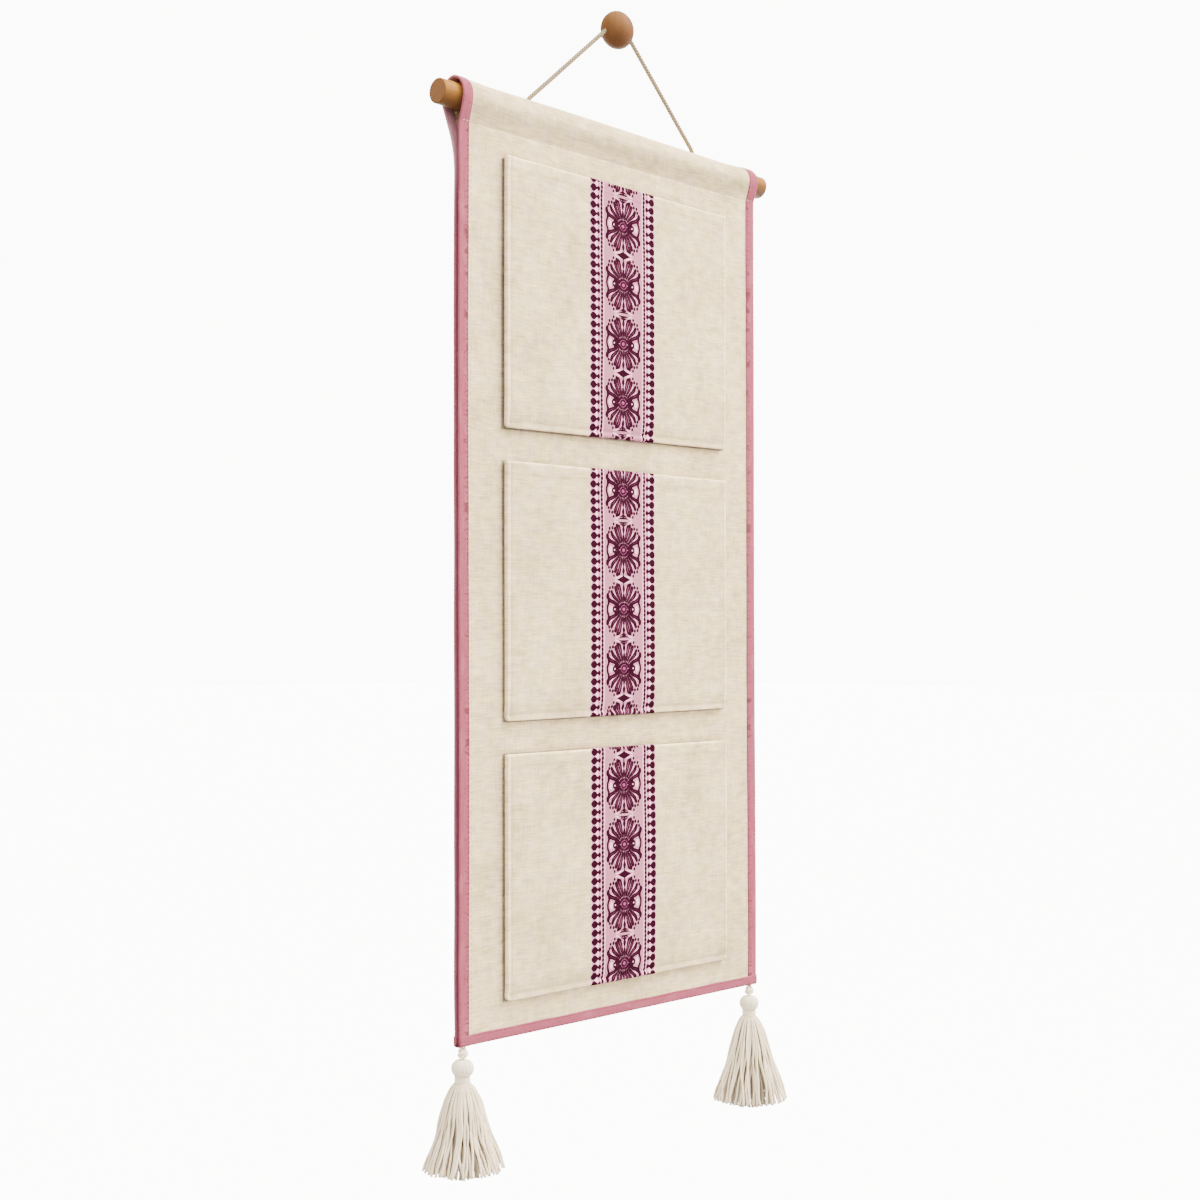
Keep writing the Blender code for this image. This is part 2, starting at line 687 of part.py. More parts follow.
# ---- the whole hanging -------------------------------------------------------------------
def build_hanging():
    clear_scene()
    parts = new_collection("pocket wall hanging")
    cutters = new_collection("cutters")
    make_panel(parts, cutters, LINEN)
    make_side_binding("binding_left", -1, parts, PINK_TAPE)
    make_side_binding("binding_right", 1, parts, PINK_TAPE)
    make_bottom_binding(parts, cutters, PINK_TAPE)
    for row in POCKETS:
        make_pocket(row, parts, LINEN)
        make_ribbon(row, parts, RIBBON_PINK)
    make_dowel(parts, cutters, DOWEL_WOOD)
    make_cord(parts, CORD_BEIGE)
    make_knob(parts, cutters, KNOB_WOOD)
    for seed, (side_name, side) in enumerate((("left", -1), ("right", 1))):
        x = side * (SIDE_X - TASSEL_INSET)
        make_tassel("tassel_" + side_name, x, parts, cutters, COTTON, seed)
        make_wrap("tassel_wrap_" + side_name, x, parts, COTTON)
        make_loop("tassel_loop_" + side_name, x, parts, cutters, COTTON)


build_hanging()
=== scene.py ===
# %% [markdown]
# # A pocket wall hanging
# This is a tall strip of natural linen folded double over a wooden dowel. Pink tape binds
# its edges, three patch pockets sit one below the other, and each pocket has a ribbon woven
# with flowers down its middle. A twisted cord goes up to a turned wooden knob on the wall,
# and a cotton tassel hangs from each lower corner.
# The solid model is loaded first and never moved. Each step below dresses one part of it.

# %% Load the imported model
import math

import bmesh
import bpy
import numpy as np
from mathutils import Matrix, Vector


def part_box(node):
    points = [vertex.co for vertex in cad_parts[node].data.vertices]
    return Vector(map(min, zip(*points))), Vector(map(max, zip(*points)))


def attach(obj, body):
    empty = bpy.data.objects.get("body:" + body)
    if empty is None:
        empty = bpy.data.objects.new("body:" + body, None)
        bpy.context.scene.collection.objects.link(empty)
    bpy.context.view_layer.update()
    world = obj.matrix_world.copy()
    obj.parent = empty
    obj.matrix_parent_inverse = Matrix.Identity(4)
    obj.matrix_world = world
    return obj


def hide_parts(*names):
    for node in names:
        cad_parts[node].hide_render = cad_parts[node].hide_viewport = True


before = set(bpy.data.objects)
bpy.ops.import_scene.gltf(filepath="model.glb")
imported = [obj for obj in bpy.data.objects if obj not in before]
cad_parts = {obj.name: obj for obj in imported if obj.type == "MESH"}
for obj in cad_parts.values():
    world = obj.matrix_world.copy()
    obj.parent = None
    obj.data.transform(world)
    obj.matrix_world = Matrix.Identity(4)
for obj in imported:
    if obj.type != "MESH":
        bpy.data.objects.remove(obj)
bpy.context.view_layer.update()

MM = 0.001

# %% [markdown]
# ## Reading sizes from the solids
# A maker measures what is already cut before adding to it. Each size here is read from the
# boxes of the solids, so the cloth, tape and yarn land where those pieces are.

# %% Measure the solids
def box_mm(node):
    """The two corners of a solid's box, in millimetres."""
    low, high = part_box(node)
    return np.array(low) / MM, np.array(high) / MM


dowel_low, dowel_high = box_mm("dowel")
hem_low, hem_high = box_mm("binding_bottom")

DOWEL_RADIUS = (dowel_high[2] - dowel_low[2]) / 2
DOWEL_Y = (dowel_low[1] + dowel_high[1]) / 2
DOWEL_Z = (dowel_low[2] + dowel_high[2]) / 2
DOWEL_TILT = 0.0060                     # how much lower the dowel hangs to its right
DOWEL_MORE = 2.0                        # how much further its right end stands out
ROLL_RADIUS = box_mm("panel")[1][2] - DOWEL_Z   # outer face of the cloth beside the tapes
SIDE_X = box_mm("binding_right")[1][0]
HEM_Z = hem_low[2]
ROLL_PROUD = 4.2                        # roll in front of the flat cloth
FRONT_Y = DOWEL_Y - ROLL_RADIUS + ROLL_PROUD
SEAM_Z = DOWEL_Z - 16.4                 # casing seam
SPREAD_Z = DOWEL_Z - 35.4               # where the back layer comes in to its plane
HEM_TAPE_WIDTH = hem_high[2] - hem_low[2]
TAPE_WIDTH = 8.2                        # side tape that shows on each face
KNOB_HALF_DEPTH = 10.2                  # the ball is a little flatter than it is wide
KNOB_Y = box_mm("knob")[0][1] + KNOB_HALF_DEPTH
KNOB_DROP = 0.8                         # the knob has sunk a little under its load
CORD_Y = DOWEL_Y - 1.5                  # cord holes, a little in front of the dowel's axis
CLOTH = 0.42                            # thickness of the linen
TAPE = 0.26                             # thickness of the folded tape
print("dowel radius", round(DOWEL_RADIUS, 2), "front face y", round(FRONT_Y, 2),
      "tape width", round(TAPE_WIDTH, 2), "hem z", round(HEM_Z, 1))

# %% [markdown]
# ## The camera
# The hanging is seen from its left at about 46 degrees, from the height of its middle, with
# a lens a little longer than normal. The camera is placed first because everything after it
# is judged through it.

# %% Place the camera
CAMERA_PLACE = (-0.8555, -0.8257, -0.4138)
CAMERA_TURN = 46.04                     # degrees from straight ahead, to the right
CAMERA_TILT = 1.13                      # degrees up
CAMERA_LENS = 51.98

camera_data = bpy.data.cameras.new("camera")
camera_data.lens = CAMERA_LENS
camera_data.sensor_width = 36.0
camera = bpy.data.objects.new("camera", camera_data)
camera.location = CAMERA_PLACE
camera.rotation_euler = (math.radians(90 + CAMERA_TILT), 0.0, -math.radians(CAMERA_TURN))
bpy.context.scene.collection.objects.link(camera)
bpy.context.scene.camera = camera
print("camera", round(camera.location.length, 3), "m from the knob")

# %% [markdown]
# ## Helpers for making meshes
# Cloth is a grid whose points are laid where a rule puts them. Yarn, cord and stitches are
# grids rolled into tubes round a centre line. Working out all points of a mesh at once with
# numpy keeps the script quick even with hundreds of yarns.

# %% Mesh helpers
def finished_mesh(bm, name):
    """Turns a bmesh into a smooth shaded mesh with a name."""
    mesh = bpy.data.meshes.new(name)
    bm.to_mesh(mesh)
    bm.free()
    mesh.shade_smooth()
    return mesh


def read_points(mesh):
    points = np.empty(len(mesh.vertices) * 3)
    mesh.vertices.foreach_get("co", points)
    return points.reshape(-1, 3)


HEM_RIGHT = 1.5                         # how far the hem has swung to the right
HEM_TILT = 0.0090                       # how much lower the hem hangs to its right
SWING_LENGTH = 600.0                    # cloth below the seam that takes up the swing


def askew(x, z):
    """The cloth hangs a little askew, more towards the hem: how far a point goes to the right
    and down."""
    cloth_share = np.clip((SEAM_Z - z) / SWING_LENGTH, 0.0, 1.0) ** 1.5
    dowel_share = np.clip((z - SEAM_Z) / 14.0, 0.0, 1.0) * np.clip(-z / 60.0, 0.0, 1.0)
    return (HEM_RIGHT * cloth_share,
            HEM_TILT * x * cloth_share + DOWEL_TILT * (x + SIDE_X) * dowel_share)


def write_points(mesh, points_mm):
    points = np.array(points_mm, dtype=float)
    right, down = askew(points[:, 0], points[:, 2])
    points[:, 0] += right
    points[:, 2] -= down
    mesh.vertices.foreach_set("co", (points * MM).ravel())
    mesh.update()


def write_colour(mesh, name, colours):
    """Stores a colour for each vertex, for a material to read by name."""
    layer = mesh.color_attributes.new(name, "FLOAT_COLOR", "POINT")
    layer.data.foreach_set("color", np.hstack([colours, np.ones((len(colours), 1))]).ravel())


def corner_vertices(mesh):
    vertices = np.empty(len(mesh.loops), dtype=int)
    mesh.loops.foreach_get("vertex_index", vertices)
    return vertices


def write_uv(mesh, uv):
    """Gives each corner of the mesh the pattern coordinate of its vertex."""
    mesh.uv_layers[0].data.foreach_set("uv", uv[corner_vertices(mesh)].ravel())


def cloth_grid(name, columns, rows, place):
    """A grid whose point in column i, row j goes to place(i, j), which gives points and UV."""
    bm = bmesh.new()
    bm.loops.layers.uv.new("UVMap")
    bmesh.ops.create_grid(bm, x_segments=columns, y_segments=rows, size=0.5, calc_uvs=True)
    mesh = finished_mesh(bm, name)
    flat = read_points(mesh) + 0.5
    i = np.rint(flat[:, 0] * columns).astype(int)
    j = np.rint(flat[:, 1] * rows).astype(int)
    points, uv = place(i, j)
    write_points(mesh, points)
    write_uv(mesh, uv)
    return mesh


def grid_places(mesh):
    """The pattern coordinate of each vertex, as it was written."""
    corner_uv = np.empty(len(mesh.loops) * 2)
    mesh.uv_layers[0].data.foreach_get("uv", corner_uv)
    places = np.empty((len(mesh.vertices), 2))
    places[corner_vertices(mesh)] = corner_uv.reshape(-1, 2)
    return places


def unit(vectors):
    return vectors / np.maximum(np.linalg.norm(vectors, axis=1, keepdims=True), 1e-9)


def look_up(table, knots, where):
    """Every column of a table, read at the given places between its rows."""
    return np.stack([np.interp(where, knots, column) for column in table.T], axis=1)


def tubes(name, count, sides, segments, centre, radius, length, reference=(0.0, 1.0, 0.0)):
    """Closed tubes: tube k runs through centre(k, t) for t from 0 to 1. Its radius is one
    number or is given by radius(k, t). Its UV is the turn round it and the length along it
    in metres."""
    bm = bmesh.new()
    bm.loops.layers.uv.new("UVMap")
    for _ in range(count):
        bmesh.ops.create_grid(bm, x_segments=sides, y_segments=segments, size=0.5,
                              calc_uvs=True)
    mesh = finished_mesh(bm, name)
    flat = read_points(mesh) + 0.5
    k = np.arange(len(flat)) // ((sides + 1) * (segments + 1))
    turn = flat[:, 0] * math.tau
    t = flat[:, 1]
    step = 0.5 / segments
    ahead = unit(centre(k, t + step) - centre(k, t - step))
    side = unit(np.cross(ahead, np.asarray(reference)))
    up = np.cross(side, ahead)
    thick = np.reshape(radius(k, t), (-1, 1)) if callable(radius) else radius
    ring = side * np.cos(turn)[:, None] + up * np.sin(turn)[:, None]
    write_points(mesh, centre(k, t) + ring * thick)
    write_uv(mesh, np.stack([flat[:, 0], t * length * MM], axis=1))
    bm = bmesh.new()
    bm.from_mesh(mesh)
    bmesh.ops.remove_doubles(bm, verts=bm.verts, dist=1e-7)
    bmesh.ops.holes_fill(bm, edges=[edge for edge in bm.edges if edge.is_boundary],
                         sides=sides)
    bmesh.ops.recalc_face_normals(bm, faces=bm.faces)
    bm.to_mesh(mesh)
    bm.free()
    mesh.shade_smooth()
    return mesh


# %% [markdown]
# A finished mesh becomes a piece when it has a material and a body to ride on. It also
# hides the plain solid that it stands for.

# %% Piece helpers
def add_piece(name, mesh, material, replaces=()):
    piece = bpy.data.objects.new(name, mesh)
    bpy.context.scene.collection.objects.link(piece)
    piece.data.materials.append(material)
    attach(piece, "root")
    if replaces:
        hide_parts(*replaces)
    print(name, len(mesh.polygons), "faces")
    return piece


def thicken(piece, thickness_mm):
    modifier = piece.modifiers.new("thickness", "SOLIDIFY")
    modifier.thickness = thickness_mm * MM
    modifier.offset = -1.0
    modifier.use_even_offset = False


# %% [markdown]
# ## Helpers for materials
# A material is a small network of nodes joined by wires. Each helper adds one node and
# returns the wire that comes out of it. Adding or multiplying two wires adds the node that
# does so, so each finish further down reads as a recipe.

# %% Node helpers
class Wire:
    """Carries a number, a place or a colour out of a node."""

    def __init__(self, tree, socket):
        self.tree = tree
        self.socket = socket

    def into(self, node, name):
        self.tree.links.new(self.socket, node.inputs[name])

    def maths(self, operation, second=0.0):
        return add(self.tree, "Math", {0: self, 1: second}, operation=operation)

    def vectors(self, operation, second=(0.0, 0.0, 0.0), output="Vector"):
        return add(self.tree, "VectorMath", {0: self, 1: second}, output,
                   operation=operation)

    def stronger(self, gain):
        return add(self.tree, "VectorMath", {0: self, "Scale": gain}, operation="SCALE")

    def __add__(self, other):
        return self.maths("ADD", other)

    def __sub__(self, other):
        return self.maths("SUBTRACT", other)

    def __rsub__(self, other):
        return self * -1.0 + other

    def __mul__(self, other):
        return self.maths("MULTIPLY", other)

    def __abs__(self):
        return self.maths("ABSOLUTE")


def new_material(name, roughness, specular):
    material = bpy.data.materials.new(name)
    material.use_nodes = True
    shader = material.node_tree.nodes["Principled BSDF"]
    shader.inputs["Roughness"].default_value = roughness
    shader.inputs["Specular IOR Level"].default_value = specular
    return material, material.node_tree, shader


def add(tree, kind, inputs, output=0, **settings):
    """A new node; each input is given a value or a wire, and one output is returned."""
    made = tree.nodes.new("ShaderNode" + kind)
    for key, value in settings.items():
        setattr(made, key, value)
    for key, value in inputs.items():
        if isinstance(value, Wire):
            value.into(made, key)
        else:
            made.inputs[key].default_value = value
    return Wire(tree, made.outputs[output])


def mix(factor, first, second):
    """Blends two colours, given as linear red, green and blue or as wires."""
    first = (*first, 1.0) if isinstance(first, tuple) else first
    second = (*second, 1.0) if isinstance(second, tuple) else second
    return add(factor.tree, "Mix", {0: factor, 6: first, 7: second}, 2, data_type="RGBA")


def split(wire, kind="XYZ"):
    """The three parts of a place or of a colour."""
    return [add(wire.tree, "Separate" + kind, {0: wire}, part) for part in range(3)]


def scaled(wire, scale, shift=(0.0, 0.0, 0.0)):
    return add(wire.tree, "Mapping", {"Vector": wire, "Scale": scale, "Location": shift})


def noise(wire, scale, detail=2.0, shift=(0.0, 0.0, 0.0)):
    return add(wire.tree, "TexNoise", {"Vector": scaled(wire, scale, shift), "Scale": 1.0,
                                       "Detail": detail})


def spread(wire, low, high, to_low=0.0, to_high=1.0):
    return add(wire.tree, "MapRange", {"Value": wire, "From Min": low, "From Max": high,
                                       "To Min": to_low, "To Max": to_high},
               interpolation_type="SMOOTHSTEP")


def bump(shader, height, distance_mm):
    add(height.tree, "Bump", {"Height": height, "Distance": distance_mm * MM,
                              "Strength": 1.0}).into(shader, "Normal")


def object_place(tree):
    return add(tree, "TexCoord", {}, "Object")


def stored_colour(tree, name):
    return add(tree, "Attribute", {}, "Color", attribute_name=name)


def pattern_uv(tree):
    """The two pattern coordinates of a piece, together and apart."""
    uv = add(tree, "UVMap", {})
    across, along, _ = split(uv)
    return uv, across, along


def each_times(three, factor):
    return tuple(factor * part for part in three)


# %% [markdown]
# ## Twisted yarn
# Cotton yarn and hanging cord are both plies twisted round each other. The tubes' own UV
# says how far round and how far along a point lies, so slanting grooves are one sine wave of
# the two together, and fine noise along the yarn gives the fibres.

# %% Yarn materials
def yarn_material(name, colour, shade, plies, twist_mm, depth_mm, groove_shade=0.6, with_painted_shading=False):
    material, tree, shader = new_material(name, 0.95, specular=0.08)
    uv, turn, along = pattern_uv(tree)
    winding = along * (1.0 / (twist_mm * MM)) + turn
    ridge = spread((winding * (plies * math.tau)).maths("SINE"), -1.0, 0.6)
    fibres = noise(uv, (14.0, 900.0, 1.0), 3.0)
    patches = noise(object_place(tree), (90.0, 90.0, 60.0), 1.0)
    # painted shade: the grooves of the twist are painted darker as well as bumped, more so for
    # the cord than for the cotton
    tone = fibres * 0.5 + (ridge * groove_shade + (0.6 - groove_shade)) + (patches - 0.5) * 0.5
    base = mix(spread(tone, 0.1, 0.9), shade, colour)
    # the skirt's yarns are multiplied by painted shade stored on their vertices
    if with_painted_shading:
        base = base.vectors("MULTIPLY", stored_colour(tree, "painted_shading"))
    base.into(shader, "Base Color")
    bump(shader, fibres * 0.3 + ridge, depth_mm)
    return material


cord_yarn = yarn_material("cord yarn", (0.37, 0.285, 0.175), (0.21, 0.15, 0.085), 2, 2.4, 0.10)
cotton_yarn = yarn_material("cotton yarn", (0.96, 0.85, 0.64), (0.77, 0.65, 0.46), 2, 3.6,
                            0.12, groove_shade=0.15)
skirt_yarn = yarn_material("skirt yarn", (1.0, 0.875, 0.665), (0.79, 0.67, 0.475), 2, 3.6,
                           0.12, groove_shade=0.15, with_painted_shading=True)
print("yarn materials made")

# %% [markdown]
# ## The hanging cord
# A cord is a fixed length that goes from somewhere to somewhere. This one comes up out of
# the dowel, runs taut to the knob, arches through it and goes down again the same way. Its
# route is a short list of points for the left half, mirrored, and a smooth curve through
# them. Three plies are then wound round that line.

# %% Route of the cord
CORD_HALF_ROUTE = (
    (-82.0, -76.4), (-82.0, -72.6), (-81.9, -69.2), (-81.3, -66.3), (-79.6, -63.9),
    (-76.0, -60.5), (-68.0, -53.2), (-54.0, -40.3), (-40.0, -27.4), (-26.0, -14.5),
    (-16.0, -5.3), (-12.4, -2.1), (-8.3, 0.8), (-4.2, 2.4), (0.0, 2.9),
)


def smooth_route(points, steps):
    """Points on a smooth curve through the given ones, with the given steps between each."""
    t = (np.arange(steps) / steps)[:, None]
    padded = np.vstack([points[:1], points, points[-1:]])
    route = []
    for before, start, end, after in zip(padded, padded[1:], padded[2:], padded[3:]):
        route.append(0.5 * (2 * start + (end - before) * t
                            + (2 * before - 5 * start + 4 * end - after) * t ** 2
                            + (3 * start - before - 3 * end + after) * t ** 3))
    return np.vstack(route + [points[-1:]])


def run_lengths(points):
    steps = np.linalg.norm(np.diff(points, axis=0), axis=1)
    return np.concatenate([[0.0], np.cumsum(steps)])


LEAN_FROM = -66.3                       # the cord leaves the dowel here
LEAN_TO = -2.1                          # and reaches the knob here
CORD_DROP = 2.3                         # the cord sits this much lower in the knob


def on_route_place(x, z):
    """The cord leans forward on its way up, from the dowel's holes to the knob."""
    risen = min(max((z - LEAN_FROM) / (LEAN_TO - LEAN_FROM), 0.0), 1.0)
    return x, CORD_Y + (KNOB_Y - CORD_Y) * risen, z - CORD_DROP * risen


half = [on_route_place(x, z) for x, z in CORD_HALF_ROUTE]
whole = np.array(half + [(-x, y, z) for x, y, z in half[-2::-1]])
cord_route = smooth_route(whole, 8)
cord_runs = run_lengths(cord_route)
cord_length = cord_runs[-1]
print("cord length", round(cord_length, 1), "mm")

# %% Wind three plies round the route
PLY_COUNT = 3
PLY_RADIUS = 0.80
PLY_ORBIT = 0.82
PLY_PITCH = 6.4


def along_cord(distance):
    return look_up(cord_route, cord_runs, distance)


def cord_ply(k, t):
    distance = np.clip(t, 0.0, 1.0) * cord_length
    middle = along_cord(distance)
    ahead = unit(along_cord(distance + 0.5) - along_cord(distance - 0.5) + 1e-9)
    out = np.array([0.0, 1.0, 0.0])
    across = np.cross(ahead, out)
    angle = (t * cord_length / PLY_PITCH + k / PLY_COUNT) * math.tau
    return middle + PLY_ORBIT * (np.cos(angle)[:, None] * across
                                 + np.sin(angle)[:, None] * out)


ply_mesh = tubes("hanging_cord_twisted", PLY_COUNT, 7, int(cord_length / PLY_PITCH * 12),
                 cord_ply, PLY_RADIUS, cord_length, reference=(0.0, 1.0, 0.03))
cord_piece = add_piece("hanging_cord_twisted", ply_mesh, cord_yarn,
                       ["hanging_cord"])

# %% [markdown]
# ## Natural linen
# Unbleached linen is a plain weave of uneven threads. Its colour is never flat: each thread
# is a little lighter or darker than the next, thick places make short streaks, and bits of
# husk leave brown flecks. Streaks are noise stretched along one thread direction, once for
# the warp and once for the weft. UV is in metres, so a thread is the same size everywhere.

# %% Linen material
THREAD_MM = 0.62
LINEN = (0.82, 0.655, 0.375)
LINEN_SHADE = (0.62, 0.48, 0.260)
HUSK = (0.39, 0.28, 0.140)
PALE_THREAD = (0.90, 0.82, 0.58)


def linen_material(name, painted_shading):
    """Its last argument gives the painted light and shade: a colour to multiply by, from the
    two pattern coordinates.
    """
    material, tree, shader = new_material(name, 0.95, specular=0.08)
    uv, across, along = pattern_uv(tree)
    threads = 1.0 / (THREAD_MM * MM)
    weft = noise(uv, (95.0, threads, 1.0))
    warp = noise(uv, (threads, 80.0, 1.0), 2.0, (3.1, 7.7, 0.0))
    slub = spread(noise(uv, (130.0, 1100.0, 1.0), 1.0, (9.0, 2.0, 0.0)), 0.60, 0.78)
    slub_up = spread(noise(uv, (1100.0, 110.0, 1.0), 1.0, (5.0, 4.0, 0.0)), 0.62, 0.80)
    cloudy = noise(uv, (28.0, 22.0, 1.0), 3.0, (1.0, 6.0, 0.0))
    patch = noise(uv, (110.0, 170.0, 1.0), 2.0, (4.0, 9.0, 0.0))
    streak = noise(uv, (60.0, 700.0, 1.0), 1.0, (6.0, 3.0, 0.0))
    streak_up = noise(uv, (700.0, 50.0, 1.0), 1.0, (2.0, 5.0, 0.0))
    cast = noise(uv, (75.0, 110.0, 1.0), 2.0, (7.0, 2.0, 0.0))
    specks = noise(uv, (520.0, 640.0, 1.0), 1.0, (2.0, 8.0, 0.0))
    both = weft * 0.55 + warp * 0.45
    base = mix(spread((cloudy - 0.5) * 0.35 + both, 0.30, 0.66), LINEN_SHADE, LINEN)
    hue = mix(spread(cast, 0.30, 0.70), (1.0, 1.0, 0.91), (1.02, 0.98, 1.09))
    base = base.vectors("MULTIPLY", hue).vectors("MULTIPLY", painted_shading(across, along))
    base = base.stronger((patch - 0.5) * 0.72 + (streak - 0.5) * 0.52
                         + (streak_up - 0.5) * 0.20 + (cloudy - 0.5) * 0.25 + 1.0)
    base = mix(slub * 0.35, base, HUSK)
    base = mix(slub_up * 0.30, base, PALE_THREAD)
    base = mix(spread(specks, 0.735, 0.80, 0.0, 0.55), base, each_times(HUSK, 0.45))
    base.into(shader, "Base Color")
    hills = ((across * (threads * math.pi)).maths("SINE")
             * (along * (threads * math.pi)).maths("SINE"))
    bump(shader, slub * 0.5 + (both * 2.2 + hills * 0.35), 0.22)
    return material


# the pockets read their painted light and shade from colours stored on their vertices
linen = linen_material("natural linen",
                       lambda across, along: stored_colour(across.tree, "painted_shading"))
print("linen made, a thread every", THREAD_MM, "mm")

# %% [markdown]
# ## How the cloth folds
# Seen from the side, the cloth goes up the front, over the dowel and down the back. Beside
# the tapes it stands off the dowel by the thickness of the tape inside it. In the middle it
# lies on the wood. Both sections are drawn with the same number of points, and every column
# of the cloth blends one into the other.

# %% Fold sections
FRONT_ROWS = 150
BEND_ROWS = 6
LINE_ROWS = 5
ROLL_ROWS = 36
BACK_ROWS = 100
LOWEST = HEM_Z + 0.8
BOUND_LAYERS = 4.2                      # front face to back face beside the tape
BARE_LAYERS = 1.8                       # the same in the middle
BARE_RADIUS = ROLL_RADIUS - 0.7
LOOSE = 1.6                             # how far the cloth arches clear above the dowel
BACK_LEFT = 0.2                         # the back layer hangs this far to the left


def bend(before, corner, after, reach):
    """A soft bend at a corner, from reach before it to reach after it."""
    start = corner + (before - corner).normalized() * reach
    end = corner + (after - corner).normalized() * reach
    steps = [step / BEND_ROWS for step in range(BEND_ROWS + 1)]
    return [start * (1 - t) ** 2 + corner * 2 * t * (1 - t) + end * t ** 2 for t in steps]


def between(start, end, rows):
    return [start.lerp(end, (row + 1) / rows) for row in range(rows)]


def fold_section(radius, layers, back_corner_z, bulge):
    """Outer face of the cloth as y and z: up the front, over the dowel, down the back. The
    slack below the dowel bulges forward before it turns in to the seam."""
    centre = Vector((DOWEL_Y, DOWEL_Z))
    front_corner = Vector((FRONT_Y, SEAM_Z))
    back_corner = Vector((FRONT_Y + layers, back_corner_z))
    to_front = front_corner - centre
    to_back = back_corner - centre
    leave = math.atan2(to_front.y, to_front.x) + math.tau - math.acos(radius / to_front.length)
    reach = math.atan2(to_back.y, to_back.x) + math.acos(radius / to_back.length)
    angles = [leave + (reach - leave) * row / ROLL_ROWS for row in range(ROLL_ROWS + 1)]
    arc = [centre + Vector((math.cos(a) * radius,
                            math.sin(a) * radius + LOOSE * max(math.sin(a), 0.0) ** 2))
           for a in angles]
    front_end = Vector((FRONT_Y, LOWEST))
    back_end = Vector((FRONT_Y + layers, LOWEST))
    front_bend = bend(front_end, front_corner, arc[0], 1.6)
    back_bend = bend(arc[-1], back_corner, back_end, 15.0)
    line = [front_end]
    line += between(front_end, front_bend[0], FRONT_ROWS) + front_bend[1:]
    line += between(front_bend[-1], arc[0], LINE_ROWS) + arc[1:]
    line += between(arc[-1], back_bend[0], LINE_ROWS) + back_bend[1:]
    line += between(back_bend[-1], back_end, BACK_ROWS)
    line = np.array([tuple(point) for point in line])
    slack = np.clip((line[:, 1] - SEAM_Z) / (arc[0].y + 4.0 - SEAM_Z), 0.0, 1.0)
    in_front = np.arange(len(line)) < FRONT_ROWS + 2 * BEND_ROWS + LINE_ROWS + ROLL_ROWS / 3
    line[:, 0] -= np.where(in_front, bulge * np.sin(math.pi * slack ** 0.9), 0.0)
    return line


bound_section = fold_section(ROLL_RADIUS, BOUND_LAYERS, SPREAD_Z, 0.5)
bare_section = fold_section(BARE_RADIUS, BARE_LAYERS, SEAM_Z, 1.5)
section_runs = run_lengths(bound_section)
BACK_START = FRONT_ROWS + 2 * BEND_ROWS + 2 * LINE_ROWS + ROLL_ROWS
print("cloth length along the fold", round(section_runs[-1]), "mm in",
      len(bound_section) - 1, "rows")

# %% [markdown]
# ## How the cloth hangs
# Hanging cloth is never quite flat. The front layer leans in and out in broad, shallow waves,
# and the back layer hangs a little more loosely behind it. Both are still at the seam and at
# the hem, where they are sewn.

# %% Softness of the hanging cloth
def smoothstep(value, low, high):
    t = np.clip((value - low) / (high - low), 0.0, 1.0)
    return t * t * (3 - 2 * t)


def hump(away, width):
    """1 at its middle, falling to 0 on both sides."""
    return np.exp(-(away / width) ** 2)


def openness(x):
    """0 beside the tapes to 1 in the bare middle."""
    inner = SIDE_X - TAPE_WIDTH - 2.0
    return smoothstep(inner - np.abs(x), 0.0, 20.0)


def front_sway(x, z):
    """How far the front layer leans out of flat: broad, shallow waves that die away at the
    seam and the hem."""
    hangs = smoothstep(SEAM_Z - z, 0.0, 60.0)
    hangs = hangs * (0.35 + 0.65 * smoothstep(z - HEM_Z, 0.0, 50.0))
    broad = 0.34 * np.sin(x / 47.0 + 0.6) * np.sin(z / 93.0 + 1.1)
    slant = 0.22 * np.sin(x / 29.0 - z / 61.0 + 2.0)
    fine = 0.08 * np.sin(x / 11.0 + z / 37.0) * np.sin(z / 19.0 + x / 53.0)
    return hangs * (broad + slant + fine)


def back_sway(x, z):
    """The back layer hangs a little more loosely and never comes through the front one."""
    hangs = smoothstep(SPREAD_Z - z, 0.0, 50.0)
    loose = 0.30 * (1.0 + np.sin(x / 38.0 + z / 71.0)) + 0.12 * np.sin(z / 17.0 + 1.0)
    return front_sway(x, z) * smoothstep(z - HEM_Z, 0.0, 60.0) + hangs * np.abs(loose)


def with_facing(section):
    """The section's points, each with the direction out of the cloth."""
    run = unit(np.gradient(section, axis=0))
    return np.column_stack([section, -run[:, 1], run[:, 0]])


SECTIONS = (with_facing(bound_section), with_facing(bare_section))


def lay_on_fold(x, row, height=0.0, bound_only=False):
    """Points on the folded cloth at width x and fold row, raised by height off its face."""
    row = np.asarray(row, dtype=float)
    share = (np.zeros_like(row) if bound_only else openness(x))[:, None]
    bound, bare = (look_up(section, range(len(section)), row) for section in SECTIONS)
    laid = bound * (1 - share) + bare * share
    point = laid[:, :2] + laid[:, 2:] * np.reshape(height, (-1, 1))
    sway = np.where(row < BACK_START / 2 + FRONT_ROWS / 2, front_sway(x, point[:, 1]),
                    back_sway(x, point[:, 1]))
    left = (BACK_LEFT * smoothstep(row, BACK_START - ROLL_ROWS / 2, BACK_START)
            * smoothstep(point[:, 1] - HEM_Z, 2.0, 30.0))
    taut = (LOOSE * smoothstep(point[:, 1] - DOWEL_Z, 0.0, ROLL_RADIUS)
            * smoothstep(x, -60.0, SIDE_X))
    return np.stack([x - left, point[:, 0] + sway, point[:, 1] - taut], axis=1)


# %% Lay the linen
POCKETS = [(box_mm("pocket_" + n)[0][2], box_mm("pocket_" + n)[1][2]) for n in "123"]
POCKET_HALF = box_mm("pocket_1")[1][0]
# how much higher each pocket's lower and upper edges are sewn on at the right
POCKET_TILTS = ((1.3, -1.0), (1.4, 0.6), (-0.3, 0.4))
CLOTH_COLUMNS = 128
CLOTH_HALF_WIDTH = SIDE_X - 1.5


